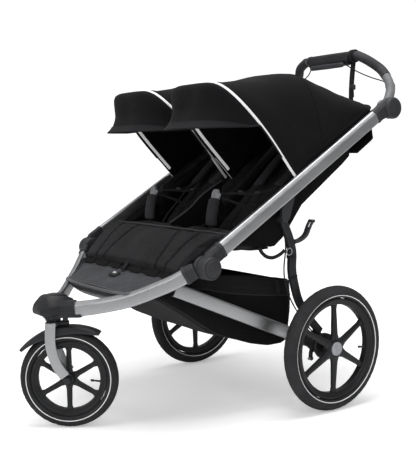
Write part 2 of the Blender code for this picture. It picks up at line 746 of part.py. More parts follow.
# ----------------------------------------------------------------- handlebar
# left arm's centre line (x, y, z), from the pivot to the crossbar
ARM = spline([(0.3310, 0.2700, 0.9500), (0.3270, 0.2900, 0.9800), (0.3070, 0.3180, 1.0060),
              (0.2770, 0.3450, 1.0300), (0.2450, 0.3640, 1.0560), (0.2080, 0.3720, 1.0850),
              (0.1720, 0.3520, 1.1150), (0.1320, *CROSSBAR)], 2)


def build_handlebar_tube():
    """Both arms and the crossbar in one bend, with a disc at each pivot."""
    mirrored_arm = [Vector((-point.x, point.y, point.z)) for point in reversed(ARM)]
    tube = pipe(ARM + [Vector((0.0, *CROSSBAR))] + mirrored_arm, HANDLE_R)
    # the lower part of each arm is thicker and stops short of the foam
    lower_arm = [ARM[0].lerp(ARM[1], 0.4)] + ARM[1:5] + [ARM[5].lerp(ARM[6], 0.6)]
    solids = [tube]
    solids += both_sides(lambda: pipe(lower_arm, 0.0136))
    solids += both_sides(lambda: lathe(((0.3185, 0.027), (0.3205, 0.029), (0.3445, 0.029)),
                                       HANDLE_PIVOT))
    button_pockets = both_sides(lambda: lathe(((0.3120, 0.0130), (0.3260, 0.0130)),
                                              HANDLE_PIVOT, 16))
    add_joined("handlebar_tube", solids, BLACK, "handlebar", cut=button_pockets)


def build_pivot_button(tag, side):
    add_piece(f"pivot_button_{tag}",
              lathe(((0.3140, 0.0095), (0.3150, 0.0115), (0.3215, 0.0115)), HANDLE_PIVOT, 16),
              GREY, f"pivot_button_{tag}", side)


def build_handle_grip(tag, side):
    path = ARM[6:] + [Vector((0.1260, *CROSSBAR))]
    add_piece(f"handle_grip_{tag}", sleeve(path, 0.0124, 0.0165), FOAM, "handlebar", side)


def build_wrist_strap():
    """A loop round the crossbar with a hanging tail."""
    outer_r = 0.0146
    loop = turned_ring([(0.1040, HANDLE_BORE_R), (0.1210, HANDLE_BORE_R),
                        (0.1210, outer_r), (0.1040, outer_r)], CROSSBAR, 16)
    y, z = CROSSBAR
    tail = box((0.1050, y - 0.0015, 1.0150), (0.1200, y + 0.0015, z - 0.0128))
    add_joined("wrist_strap", [loop, tail], WEBBING, "handlebar")


def build_brake_twist_grip():
    """Hand brake: a sleeve on the crossbar with a lobe below it."""
    half, taper = 0.1005, 0.006
    y, z = CROSSBAR
    section, bore = [], []
    for angle in circle_angles(16):
        radius = 0.0185 + 0.012 * max(0.0, math.cos(angle + math.pi / 2)) ** 1.5
        section.append((radius * math.cos(angle), radius * math.sin(angle)))
        bore.append((HANDLE_BORE_R * math.cos(angle), HANDLE_BORE_R * math.sin(angle)))
    # x, scale of the section
    stations = ((-half, 0.93), (-half + taper, 1.0), (half - taper, 1.0), (half, 0.93))
    rings = [[(x, y + u * scale, z + v * scale) for u, v in section] for x, scale in stations]
    rings += [[(x, y + u, z + v) for u, v in bore] for x in (half, -half)]
    add_piece("brake_twist_grip", loft(rings, closed=True), BLACK, "brake_twist")


# ------------------------------------------------------------------ rear arm
# y, rim z, bottom z
BASKET = [(-0.530, 0.4050, 0.3600), (-0.480, 0.4200, 0.3220), (-0.400, 0.4330, 0.2890),
          (-0.310, 0.4350, 0.2540), (-0.220, 0.4220, 0.2200), (-0.150, 0.4080, 0.2020),
          (-0.092, 0.4000, 0.2030), (-0.045, 0.3930, 0.2300)]
# share of the half width, share of the depth
BASKET_SECTION = [(1.0, 0.0), (1.0, 0.45), (0.95, 0.80), (0.78, 0.96), (0.4, 1.0), (0, 1.0),
                  (-0.4, 1.0), (-0.78, 0.96), (-0.95, 0.80), (-1.0, 0.45), (-1.0, 0.0)]
BASKET_HALF = 0.244
BASKET_END_HALF = BASKET_HALF * 0.96

# outline (y, z) of the tread plate behind the axle
PEDAL = [(0.0165, 0.188), (0.030, 0.182), (0.075, 0.186), (0.098, 0.196),
         (0.096, 0.204), (0.060, 0.200), (0.030, 0.204), (0.0165, 0.202)]


def build_rear_strut(tag, side):
    pivot, axle = Vector((STRUT_TOP_X, *STRUT_PIVOT)), Vector((STRUT_LOW_X, *AXLE))
    way = (axle - pivot).normalized()
    start, end = pivot - way * 0.013, axle - way * 0.0305
    tube = sweep([start, (start + end) / 2, end], oval(16, 0.0100, 0.0205, 2.6))
    bore_r = PIN_R + 0.0003
    pin_bore = lathe(((0.2300, bore_r), (0.2618, bore_r)), STRUT_PIVOT, 16)
    add_joined(f"rear_strut_{tag}", [tube], ALU, "rear_arm", side, 50, cut=[pin_bore])


def build_axle_housing(tag, side):
    """Housing with the brake drum, the axle stub and the upright's lug."""
    drum = lathe(((0.2850, 0.022), (0.2880, 0.028), (0.3270, 0.028), (0.3275, 0.040),
                  (0.3400, 0.040), (0.3405, 0.0060), (0.3760, 0.0058)), AXLE)
    y, z = UPRIGHT_FOOT
    lug = prism([(-0.016, 0.200), (0.014, 0.200), (y + 0.013, z + 0.004), (y, z + 0.013),
                 (y - 0.013, z + 0.004)], 0.2990, 0.3085)
    add_joined(f"axle_housing_{tag}", [drum, lug], BLACK, "rear_arm", side)


def build_rear_axle_tube():
    add_piece("rear_axle_tube",
              lathe(((-0.2846, AXLE_TUBE_R), (0.2846, AXLE_TUBE_R)), AXLE, 18),
              BLACK, "rear_arm")


def basket_end(y, top, low, inward):
    """End wall; inward is +1 or -1, the y direction into the basket."""
    outline = [(BASKET_END_HALF * share, top + (low - top) * depth)
               for share, depth in BASKET_SECTION if share]
    return loft_along_y([(y - 0.0012 * inward, outline), (y + 0.0030 * inward, outline)])


def build_basket():
    """An open-topped fabric trough between the struts."""
    grid = []
    for k, (y, top, low) in enumerate(BASKET):
        half = BASKET_END_HALF if k in (0, len(BASKET) - 1) else BASKET_HALF
        grid.append([(half * share, y, top + (low - top) * depth)
                     for share, depth in BASKET_SECTION])
    add_joined("basket", [shell(grid, SHEET, (0, -0.30, 0.50)),
                          basket_end(*BASKET[0], 1), basket_end(*BASKET[-1], -1)],
               FABRIC, "rear_arm")


def build_brake_pedal():
    """A collar on the axle tube with a tread plate behind it."""
    inner_r, outer_r = AXLE_TUBE_R + 0.0006, 0.0195
    collar = turned_ring([(0.195, inner_r), (0.230, inner_r), (0.230, outer_r),
                          (0.195, outer_r)], AXLE, 20)
    add_joined("brake_pedal", [collar, prism(PEDAL, 0.180, 0.245, 0.0015)], GREY,
               "brake_pedal")


# ------------------------------------------------------------------ uprights
# centre line (y, z)
UPRIGHT = [UPRIGHT_TOP, (-0.1480, 0.5720), (-0.1330, 0.5370), (-0.1225, 0.4960),
           (-0.1230, 0.4467), (-0.1140, 0.4033), (-0.0930, 0.3440), (-0.0520, 0.2880),
           UPRIGHT_FOOT]
CATCH_X = 0.316
CATCH = [(-0.1165, 0.5290), (-0.0900, 0.5340), (-0.0680, 0.5480), (-0.0560, 0.5700),
         (-0.0430, 0.5890)]


def build_rear_upright(tag, side):
    path = spline([(UPRIGHT_X, y, z) for y, z in UPRIGHT], 2)
    end, middle = oval(12, 0.0088, 0.0105, 2.6), oval(12, 0.0088, 0.0125, 2.6)
    sections = [end] + [middle] * (len(path) - 2) + [end]
    add_piece(f"rear_upright_{tag}", sweep(path, sections, up=(0, 1, 0.2)), BLACK,
              "uprights", side, 50)


def build_fold_catch(tag, side):
    """A curved arm that rises rearward from the upright."""
    path = spline([(CATCH_X, y, z) for y, z in CATCH], 2)
    arm = sweep(path, oval(10, 0.0125, 0.0045, 3.0), up=(0, -0.5, 1))
    add_piece(f"fold_catch_{tag}", arm, GREY, f"fold_catch_{tag}", side, 50)


# --------------------------------------------------------------- rear wheels
# rim rows: radius, outboard x, inboard x, from the wheel's centre plane
REAR_RIM = [(0.0062, 0.0130, 0.0060), (0.0068, 0.0130, -0.0300), (0.0200, 0.0130, -0.0300),
            (0.0206, 0.0130, -0.0130), (0.0340, 0.0120, -0.0080),
            (REAR_WINDOW_R, 0.0030, -0.0120), (0.1480, 0.0090, -0.0140),
            (REAR_RIM_R, 0.0150, -0.0150)]
# x from the wheel's centre plane, radius
HUB_CAP = [(0.0134, 0.0165), (0.0180, 0.0160), (0.0205, 0.0120), (0.0212, 0.0050)]


def tyre_profile(inner_r, outer_r, half):
    """Tyre section: flat seat on the rim, rounded sidewalls and tread."""
    height = outer_r - inner_r
    # share of the half width, share of the height
    shares = [(0.62, 0.0), (0.88, 0.16), (1.0, 0.42), (0.92, 0.66), (0.66, 0.88), (0.26, 1.0)]
    points = [(half * width, inner_r + height * rise) for width, rise in shares]
    return points + [(-x, radius) for x, radius in reversed(points)]


def build_rear_tyre(tag, side):
    profile = [(TRACK + x, radius)
               for x, radius in tyre_profile(REAR_RIM_R + GAP, REAR_R, 0.0230)]
    add_piece(f"rear_tyre_{tag}", turned_ring(profile, AXLE, 40), RUBBER,
              f"rear_wheel_{tag}", side, 70)


def build_rear_rim(tag, side):
    rim = spoked_plate(REAR_RIM, half_hub=0.0105, half_rim=0.0065, window=4,
                       centre=(TRACK, *AXLE))
    add_piece(f"rear_rim_{tag}", rim, RIM, f"rear_wheel_{tag}", side, 40)


def build_hub_cap(tag, side):
    cap = lathe([(TRACK + x, radius) for x, radius in HUB_CAP], AXLE, 20)
    add_piece(f"hub_cap_{tag}", cap, CAP, f"rear_wheel_{tag}", side, 40)


# ------------------------------------------------------ front fork and wheel
# written in the fork's own axes, with the steering axis at y = 0
LEG_X = 0.0345
# leg centre line (y, z), from the crown to the axle
FORK_LEG = [(0.000, 0.3090), (-0.003, 0.2700), (0.001, 0.2300), (0.016, 0.1850), FRONT_AXLE]
# share of the half width, depth towards the axle
FENDER_SECTION = [(-1, 0.004), (-0.6, 0.0006), (0, 0), (0.6, 0.0006), (1, 0.004),
                  (0.96, 0.0065), (0.58, 0.0031), (0, 0.0025), (-0.58, 0.0031),
                  (-0.96, 0.0065)]
# rim rows: radius, left x, right x
FRONT_RIM = [(0.0058, 0.0250, -0.0250), (0.0170, 0.0250, -0.0250), (0.0176, 0.0120, -0.0120),
             (0.0240, 0.0100, -0.0100), (FRONT_WINDOW_R, 0.0060, -0.0060),
             (0.1040, 0.0110, -0.0110), (FRONT_RIM_R, 0.0135, -0.0135)]


def build_front_fork():
    """Crown with a tongue behind it, two legs and the axle."""
    solids = [box((-0.0385, -0.0190, 0.3020), (0.0385, 0.0190, FORK_TOP), 0.003),
              box((-0.0115, 0.0120, 0.3042), (0.0115, 0.0470, 0.3148), 0.002)]
    for side in (1, -1):
        path = spline([(LEG_X * side, y, z) for y, z in FORK_LEG], 3)
        solids.append(sweep(path, oval(12, 0.0042, 0.0150, 3.0), up=(0, 1, 0.3)))
    solids.append(lathe(((-0.0375, 0.0052), (0.0375, 0.0052)), FRONT_AXLE, 12))
    add_joined("front_fork", solids, ALU, "front_fork", sharp=50)


def build_front_fender():
    """A thin guard round the top of the tyre, a little wider at its middle."""
    last = 12
    rings = []
    for k in range(last + 1):
        angle = math.radians(146 - k * 7.6)
        radius = 0.1564 + 0.008 * (abs(k - 6) / 6) ** 2
        half = 0.0255 * (0.80 if k in (0, last) else 1.0)
        out_y, out_z = math.cos(angle), math.sin(angle)
        y, z = TRAIL + radius * out_y, FRONT_R + radius * out_z
        rings.append([(half * share, y - out_y * depth, z - out_z * depth)
                      for share, depth in FENDER_SECTION])
    add_piece("front_fender", loft(rings), BLACK, "front_fork", sharp=60)


def build_swivel_lock_knob():
    add_piece("swivel_lock_knob",
              post(((FORK_TOP, 0.0065), (0.3158, 0.0078), (0.3240, 0.0078),
                    (0.3250, 0.0068)), (0, LOCK_Y), 16), GREY, "swivel_lock")


def build_front_tyre():
    profile = tyre_profile(FRONT_RIM_R + GAP, FRONT_R, 0.0205)
    add_piece("front_tyre", turned_ring(profile, FRONT_AXLE), RUBBER, "front_wheel", sharp=70)


def build_front_rim():
    """Rim whose bore takes the fork's axle with running clearance."""
    rim = spoked_plate(FRONT_RIM, half_hub=0.0085, half_rim=0.0060, window=3,
                       centre=(0.0, *FRONT_AXLE))
    bore = lathe(((-0.040, 0.0057), (0.040, 0.0057)), FRONT_AXLE, 12)
    add_joined("front_rim", [rim], RIM, "front_wheel", sharp=40, cut=[bore])


# --------------------------------------------------------------------- build
PAIRED = (
    build_lower_tube, build_hub, build_strut_bracket, build_crotch_strap,
    build_upper_tube, build_hub_cover, build_upright_bracket, build_handle_pivot,
    build_canopy_roof, build_canopy_hoop, build_seat_back, build_harness,
    build_pivot_button, build_handle_grip, build_rear_strut, build_axle_housing,
    build_rear_upright, build_fold_catch, build_rear_tyre, build_rear_rim, build_hub_cap,
)
SINGLE = (
    build_head_block, build_footrest_tray, build_footrest_clip, build_calf_pad,
    build_seat_base, build_center_divider, build_upper_cross_tube, build_handlebar_tube,
    build_wrist_strap, build_brake_twist_grip, build_rear_axle_tube, build_basket,
    build_brake_pedal, build_front_fork, build_front_fender, build_swivel_lock_knob,
    build_front_tyre, build_front_rim,
)

for build in PAIRED:
    for tag, side in SIDES:
        build(tag, side)
for build in SINGLE:
    build()
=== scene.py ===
"""Looks for the side-by-side jogging stroller: frame, wheels, fabric and light.

Pieces are drawn in metres with the rear axle at y = 0: +X is the stroller's left,
-Y its front, and z = 0 the floor. SHIFT moves them into the CAD frame. Steered
pieces are drawn about the steering axis, and FORK swivels and places them.
A part is a pair (vertices, faces). Most pieces are drawn on the left, and the
right-hand ones are mirrored.
"""
import math
from math import cos, pi, radians, sin

import bmesh
import bpy
import numpy as np
from mathutils import Matrix, Vector


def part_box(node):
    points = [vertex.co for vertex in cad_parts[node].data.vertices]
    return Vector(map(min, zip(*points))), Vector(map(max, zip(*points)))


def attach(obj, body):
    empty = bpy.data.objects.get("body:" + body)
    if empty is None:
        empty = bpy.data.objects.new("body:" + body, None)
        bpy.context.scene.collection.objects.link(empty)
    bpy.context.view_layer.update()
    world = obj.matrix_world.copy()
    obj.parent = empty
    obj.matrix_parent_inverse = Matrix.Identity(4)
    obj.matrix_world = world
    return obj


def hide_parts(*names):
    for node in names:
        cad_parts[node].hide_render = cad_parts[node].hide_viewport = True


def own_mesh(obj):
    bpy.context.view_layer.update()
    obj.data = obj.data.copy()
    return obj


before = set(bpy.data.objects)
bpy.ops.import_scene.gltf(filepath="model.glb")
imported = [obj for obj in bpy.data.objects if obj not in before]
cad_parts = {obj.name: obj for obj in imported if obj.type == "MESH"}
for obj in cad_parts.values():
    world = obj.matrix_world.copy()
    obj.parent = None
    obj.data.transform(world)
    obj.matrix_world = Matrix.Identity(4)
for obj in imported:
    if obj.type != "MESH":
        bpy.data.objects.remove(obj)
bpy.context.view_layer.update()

SIDES = ("left", "right")
tyre_low, tyre_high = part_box("rear_tyre_left")
TRACK, AXLE_Y, AXLE_Z = ((tyre_low[i] + tyre_high[i]) / 2 for i in range(3))
SHIFT = Matrix.Translation((0, AXLE_Y, 0))
STEER_Y = -0.765
TRAIL = 0.045                   # the front axle lies this far behind the steering axis
SWIVEL = radians(-37)
FORK = Matrix.Translation((0, STEER_Y + AXLE_Y, 0)) @ Matrix.Rotation(SWIVEL, 4, "Z")
FRONT_RADIUS = 0.145
CHILD_X = 0.177                 # middle of one child's harness and canopy

# Lower frame tube, front to rear: x, y, z
LOWER_TUBE = [
    (0.0600, -0.7330, 0.3545), (0.0835, -0.7125, 0.3580), (0.120, -0.678, 0.3655),
    (0.190, -0.619, 0.3870), (0.250, -0.5620, 0.4190), (0.285, -0.5300, 0.4400),
    (0.310, -0.5040, 0.4600)]
TUBE_LOW = (0.350, -0.4135, 0.5290)         # ends of the upper frame tube
TUBE_TOP = (0.350, 0.2025, 0.9125)
# Points as (y, z)
FRAME_HUB = (-0.4585, 0.4805)
STRUT_TOP = (-0.500, 0.410)
HANDLE_PIVOT = (0.2650, 0.9400)
CROSSBAR = (0.345, 1.135)
BAR_Y, BAR_Z = CROSSBAR

# ------------------------------------------------------------------ materials


class Surface:
    """A Principled material and the nodes that texture it."""

    def __init__(self, name, colour, rough, metallic=0.0):
        self.material = bpy.data.materials.new(name)
        self.material.use_nodes = True
        self.tree = self.material.node_tree
        self.shader = self.tree.nodes["Principled BSDF"]
        self.set({"Base Color": (*colour, 1), "Roughness": rough, "Metallic": metallic})
        self.coord = self.node("ShaderNodeTexCoord").outputs["Object"]

    def feed(self, node, inputs):
        """Sets inputs to values, or links them to sockets."""
        for key, value in inputs.items():
            if isinstance(value, bpy.types.NodeSocket):
                self.tree.links.new(value, node.inputs[key])
            else:
                node.inputs[key].default_value = value

    def set(self, inputs):
        self.feed(self.shader, inputs)

    def node(self, kind, inputs={}, **properties):
        node = self.tree.nodes.new(kind)
        for key, value in properties.items():
            setattr(node, key, value)
        self.feed(node, inputs)
        return node

    def noise(self, scale, detail=3.0, stretch=(1, 1, 1), rough=0.5):
        place = self.node("ShaderNodeMapping", {"Scale": stretch, "Vector": self.coord})
        return self.node("ShaderNodeTexNoise", {
            "Scale": scale, "Detail": detail, "Roughness": rough,
            "Vector": place.outputs[0]}).outputs["Fac"]

    def ramp(self, value, low, high, start=0.35, end=0.65):
        """Maps start..end to low..high."""
        return self.node("ShaderNodeMapRange", {
            "From Min": start, "From Max": end, "To Min": low, "To Max": high,
            "Value": value}).outputs["Result"]

    def mix(self, share, first, second):
        """Mixes two colours, each an RGB tuple or a socket."""
        first, second = (colour if isinstance(colour, bpy.types.NodeSocket) else (*colour, 1)
                         for colour in (first, second))
        return self.node("ShaderNodeMix", {0: share, 6: first, 7: second},
                         data_type="RGBA").outputs[2]

    def math(self, operation, first, second):
        return self.node("ShaderNodeMath", {0: first, 1: second}, operation=operation).outputs[0]

    def wave(self, scale, direction):
        return self.node("ShaderNodeTexWave", {"Scale": scale, "Vector": self.coord},
                         bands_direction=direction, wave_profile="SIN").outputs["Fac"]

    def bump(self, height, strength, distance):
        bump = self.node("ShaderNodeBump", {"Strength": strength, "Distance": distance,
                                            "Height": height})
        self.set({"Normal": bump.outputs[0]})


def shade(colour, factor, lift=0.0):
    return tuple(min(1.0, channel * factor + lift) for channel in colour)


def plastic(name, colour, rough=0.45, grain=1300.0, depth=0.35):
    """Moulded plastic: fine grain, cloudy colour and gloss, and convex edges lightened as a
    painted highlight.
    """
    look = Surface(name, colour, rough)
    look.set({"Specular IOR Level": 0.30})
    cloud = look.noise(scale=14, detail=4)
    base = look.mix(look.ramp(cloud, 0, 1), shade(colour, 0.82), shade(colour, 1.22))
    # painted highlight: edges found by pointiness are lightened as if they caught the light
    pointiness = look.node("ShaderNodeNewGeometry").outputs["Pointiness"]
    edge = look.ramp(pointiness, 0, 1, start=0.53, end=0.62)
    edge_highlit_colour = look.mix(look.math("MULTIPLY", edge, 0.5), base, shade(colour, 2.2, lift=0.012))
    look.set({"Base Color": edge_highlit_colour, "Roughness": look.ramp(
        look.noise(scale=55, detail=4), low=rough - 0.05, high=rough + 0.09)})
    look.bump(look.noise(scale=grain, detail=2), strength=depth, distance=0.0003)
    return look.material


def metal(name, colour, rough, metallic=1.0):
    """Satin aluminium: fine brushing and soft handling marks."""
    look = Surface(name, colour, rough, metallic)
    streak = look.noise(scale=150, detail=4, stretch=(1.0, 0.06, 0.5))
    cloud = look.noise(scale=5, detail=3)
    tint = look.math("ADD", look.math("MULTIPLY", streak, 0.5),
                     look.math("MULTIPLY", cloud, 0.5))
    look.set({"Base Color": look.mix(look.ramp(tint, 0, 1), shade(colour, 0.94),
                                     shade(colour, 1.05))})
    look.set({"Roughness": look.ramp(tint, low=rough - 0.05, high=rough + 0.08)})
    look.bump(look.noise(scale=900, detail=2, stretch=(1.0, 0.15, 1.0)),
              strength=0.08, distance=0.0002)
    return look.material


def fabric(name, colour, pitch, depth, sheen, fleck, rough=0.9):
    """Woven cloth: yarns crossing on all three axes at the given pitch, flecked
    yarn colour, slow shade changes and a soft sheen."""
    look = Surface(name, colour, rough)
    look.set({"Sheen Weight": sheen * 0.22, "Sheen Roughness": 0.40,
              "Specular IOR Level": 0.09})
    yarn_x, yarn_y, yarn_z = (look.wave(1.0 / pitch / 3.14, axis) for axis in "XYZ")
    weave = look.math("ADD", look.math("MULTIPLY", yarn_x, yarn_y),
                      look.math("MULTIPLY", yarn_z, look.math("ADD", yarn_x, yarn_y)))
    slow = look.noise(scale=7, detail=4)
    yarn = look.noise(scale=1.0 / pitch * 0.8, detail=2)
    tone = look.math("ADD", look.math("MULTIPLY", slow, 0.6), look.math("MULTIPLY", yarn, 0.4))
    look.set({"Base Color": look.mix(look.ramp(tone, 0, 1), shade(colour, 1 - fleck),
                                     shade(colour, 1 + fleck * 1.6, lift=0.001))})
    look.set({"Roughness": look.ramp(slow, low=rough - 0.06, high=min(1.0, rough + 0.05))})
    look.bump(look.math("ADD", weave, look.math("MULTIPLY", yarn, 0.5)),
              strength=depth, distance=pitch * 0.35)
    return look.material


def rubber(name, colour, rough):
    """Dusty rubber or foam."""
    look = Surface(name, colour, rough)
    look.set({"Specular IOR Level": 0.20})
    dust = look.noise(scale=9, detail=5, rough=0.65)
    look.set({"Base Color": look.mix(look.ramp(dust, 0, 1), shade(colour, 0.8),
                                     shade(colour, 1.45, lift=0.004))})
    look.set({"Roughness": look.ramp(dust, low=rough - 0.06, high=rough + 0.12)})
    look.bump(look.noise(scale=700, detail=3), strength=0.35, distance=0.0004)
    return look.material


def reflective(name):
    return fabric(name, (0.86, 0.86, 0.87), pitch=0.0012, depth=0.25, sheen=0.1, fleck=0.06,
                  rough=0.42)


ALUMINIUM = metal("satin_aluminium_look", (0.40, 0.405, 0.415), rough=0.38)
GREY_TUBE = metal("grey_tube_look", (0.34, 0.345, 0.36), rough=0.42, metallic=0.85)
STEEL = metal("bolt_steel_look", (0.36, 0.36, 0.37), rough=0.3)

SLEEVE = plastic("arm_sleeve_look", (0.150, 0.152, 0.158), rough=0.50)
LIP = plastic("footrest_lip_look", (0.105, 0.106, 0.114), rough=0.42)
BLACK = plastic("black_plastic_look", (0.0150, 0.0155, 0.0175), rough=0.46)
GREY = plastic("grey_plastic_look", (0.036, 0.037, 0.041), rough=0.48)
HUB_GREY = plastic("hub_plastic_look", (0.024, 0.0245, 0.0275), rough=0.47)
PANEL = plastic("footrest_panel_look", (0.043, 0.044, 0.049), rough=0.5, grain=500.0, depth=0.5)
BOWL = plastic("footrest_bowl_look", (0.034, 0.035, 0.039), rough=0.36)
RIM = plastic("rim_look", (0.0085, 0.0088, 0.0100), rough=0.40)
CAP = plastic("cap_look", (0.33, 0.34, 0.36), rough=0.34)
BUCKLE = plastic("buckle_look", (0.21, 0.215, 0.225), rough=0.40)
STRIPE = plastic("tyre_stripe_look", (0.62, 0.62, 0.63), rough=0.4)
LABEL = plastic("blank_label_look", (0.60, 0.60, 0.61), rough=0.4)

FOAM = rubber("grip_foam_look", (0.032, 0.032, 0.0355), rough=0.70)
TYRE = rubber("tyre_look", (0.0215, 0.0215, 0.0230), rough=0.76)
CABLE = rubber("cable_look", (0.010, 0.010, 0.011), rough=0.42)

BASKET_TOP = fabric("basket_upper_look", (0.0105, 0.0105, 0.0116),
                    pitch=0.0022, depth=0.8, sheen=0.2, fleck=0.3)
# painted highlight: this pale grey on the piping and edge rolls stands in for the light along
# those rounded edges
TRIM_HIGHLIGHT = fabric("trim_highlight_look", (0.060, 0.0605, 0.0640),
              pitch=0.0014, depth=0.4, sheen=0.2, fleck=0.12, rough=0.7)
CANOPY = fabric("canopy_fabric_look", (0.0062, 0.0062, 0.0070),
                pitch=0.0011, depth=0.35, sheen=0.20, fleck=0.16)
LINING = fabric("lining_fabric_look", (0.0040, 0.0040, 0.0046),
                pitch=0.0013, depth=0.4, sheen=0.12, fleck=0.2)
SEAT = fabric("seat_fabric_look", (0.0152, 0.0154, 0.0168),
              pitch=0.0020, depth=0.7, sheen=0.28, fleck=0.35)
SIDE = fabric("side_fabric_look", (0.0050, 0.0050, 0.0056),
              pitch=0.0015, depth=0.5, sheen=0.16, fleck=0.25)
BASKET = fabric("basket_fabric_look", (0.0052, 0.0052, 0.0058),
                pitch=0.0018, depth=0.6, sheen=0.14, fleck=0.25)
BAND = fabric("basket_band_look", (0.0260, 0.0260, 0.0285),
              pitch=0.0022, depth=0.8, sheen=0.2, fleck=0.3)
WEBBING = fabric("webbing_look", (0.016, 0.016, 0.0180),
                 pitch=0.0024, depth=0.9, sheen=0.2, fleck=0.2, rough=0.75)
PAD = fabric("pad_fabric_look", (0.0330, 0.0332, 0.0365),
             pitch=0.0016, depth=0.6, sheen=0.3, fleck=0.25)
HEM = fabric("canopy_hem_look", (0.0135, 0.0135, 0.0150),
             pitch=0.0012, depth=0.35, sheen=0.20, fleck=0.16)
PIPING = reflective("reflective_piping_look")
INNER_GLOW = reflective("reflective_inner_glow_look")
# painted light: the inner band glows a little so it reads white although it sits in shade; it is
# no lamp
inner_glow_inputs = INNER_GLOW.node_tree.nodes["Principled BSDF"].inputs
inner_glow_inputs["Emission Color"].default_value = (1, 1, 1, 1)
inner_glow_inputs["Emission Strength"].default_value = 0.28

# -------------------------------------------------------------- mesh building


def merged(*parts):
    vertices, faces = [], []
    for part_vertices, part_faces in parts:
        start = len(vertices)
        vertices += [tuple(point) for point in part_vertices]
        faces += [tuple(i + start for i in face) for face in part_faces]
    return vertices, faces


def mirrored(part):
    vertices, faces = part
    return [(-x, y, z) for x, y, z in vertices], [tuple(reversed(face)) for face in faces]


def both(part):
    """The part and its mirror image."""
    return merged(part, mirrored(part))


def moved(part, matrix):
    vertices, faces = part
    return [tuple(matrix @ Vector(point)) for point in vertices], faces


def shifted(part, *offset):
    return moved(part, Matrix.Translation(offset))


def make(name, part, material, crease=40, side="left", fork=False):
    """An object from a part; edges sharper than `crease` degrees stay sharp."""
    if side == "right":
        part = mirrored(part)
    name = name.replace("*", side)
    mesh = bpy.data.meshes.new(name)
    mesh.from_pydata([tuple(map(float, point)) for point in part[0]], [], part[1])
    mesh.update()
    edit = bmesh.new()
    edit.from_mesh(mesh)
    bmesh.ops.recalc_face_normals(edit, faces=edit.faces)
    edit.to_mesh(mesh)
    edit.free()
    mesh.transform(FORK if fork else SHIFT)
    mesh.shade_smooth()
    mesh.set_sharp_from_angle(angle=radians(crease))
    mesh.materials.append(material)
    ob = bpy.data.objects.new(name, mesh)
    bpy.context.scene.collection.objects.link(ob)
    return ob


def put(name, part, material, body, cad=None, crease=60, side="left", fork=False, slot=None):
    """A piece that rides on a body and may replace a CAD node. A * in a name
    stands for the side."""
    ob = make(name, part, material, crease, side, fork)
    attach(ob, body.replace("*", side))
    if cad:
        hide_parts(cad.replace("*", side))
    return ob


def bake(ob):
    """Applies an object's modifiers to its mesh."""
    graph = bpy.context.evaluated_depsgraph_get()
    mesh = bpy.data.meshes.new_from_object(ob.evaluated_get(graph))
    ob.modifiers.clear()
    ob.data = mesh


def turns(count):
    """Angles evenly spaced round a circle."""
    return [2 * pi * k / count for k in range(count)]


def between(ends, share):
    return ends[0] + (ends[1] - ends[0]) * share


def signed_power(value, power):
    return math.copysign(abs(value) ** power, value)


def lookup(table, at, column=1):
    """Reads a table whose first column rises, with straight lines between rows."""
    return float(np.interp(at, [row[0] for row in table], [row[column] for row in table]))


def loft(rings, closed=False):
    """Joins rings of equal length: capped at both ends, or closed on itself."""
    size = len(rings[0])
    count = len(rings)
    vertices = [tuple(point) for ring in rings for point in ring]
    faces = []
    for i in range(count if closed else count - 1):
        here, there = i * size, ((i + 1) % count) * size
        for j in range(size):
            k = (j + 1) % size
            faces.append((here + j, here + k, there + k, there + j))
    if not closed:
        faces.append(tuple(range(size))[::-1])
        faces.append(tuple(range((count - 1) * size, count * size)))
    return vertices, faces


def smooth(points, steps):
    """A Catmull-Rom path through the points, `steps` steps to a span."""
    knots = [Vector(point) for point in points]
    knots = [2 * knots[0] - knots[1]] + knots + [2 * knots[-1] - knots[-2]]
    path = []
    for before, start, end, after in zip(knots, knots[1:], knots[2:], knots[3:]):
        for k in range(steps):
            share = k / steps
            path.append(0.5 * ((2 * start) + (end - before) * share
                               + (2 * before - 5 * start + 4 * end - after) * share * share
                               + (3 * start - before - 3 * end + after) * share ** 3))
    path.append(knots[-2].copy())
    return path


def tangents(path):
    last = len(path) - 1
    return [(path[min(i + 1, last)] - path[max(i - 1, 0)]).normalized()
            for i in range(len(path))]


def rounded(outline, radius, steps=3):
    """A polygon with its corners rounded."""
    points = []
    for i, corner in enumerate(outline):
        corner = Vector(corner)
        back = Vector(outline[i - 1]) - corner
        ahead = Vector(outline[(i + 1) % len(outline)]) - corner
        cut = min(radius, back.length * 0.45, ahead.length * 0.45)
        start, end = corner + back.normalized() * cut, corner + ahead.normalized() * cut
        for k in range(steps + 1):
            share = k / steps
            points.append(tuple(start * (1 - share) ** 2 + corner * 2 * share * (1 - share)
                                + end * share * share))
    return points


def box_section(half_width, half_height, radius, steps=3):
    return rounded([(-half_width, -half_height), (half_width, -half_height),
                    (half_width, half_height), (-half_width, half_height)], radius, steps)


def oval(count, half_width, half_height, power):
    """A superellipse; a higher power is squarer."""
    points = []
    for i in range(count):
        angle = 2 * pi * (i + 0.5) / count
        points.append((half_width * signed_power(cos(angle), 2 / power),
                       half_height * signed_power(sin(angle), 2 / power)))
    return points


def stack(count, half_x, half_y, power, stations, centre=(0, 0, 0)):
    """Level ovals piled up: stations are (z, scale)."""
    x0, y0, z0 = centre
    return loft([[(x0 + x, y0 + y, z + z0)
                  for x, y in oval(count, half_x * scale, half_y * scale, power)]
                 for z, scale in stations])


def extruded(outline, xs):
    """A (y, z) outline run along X."""
    return loft([[(x, y, z) for y, z in outline] for x in xs])


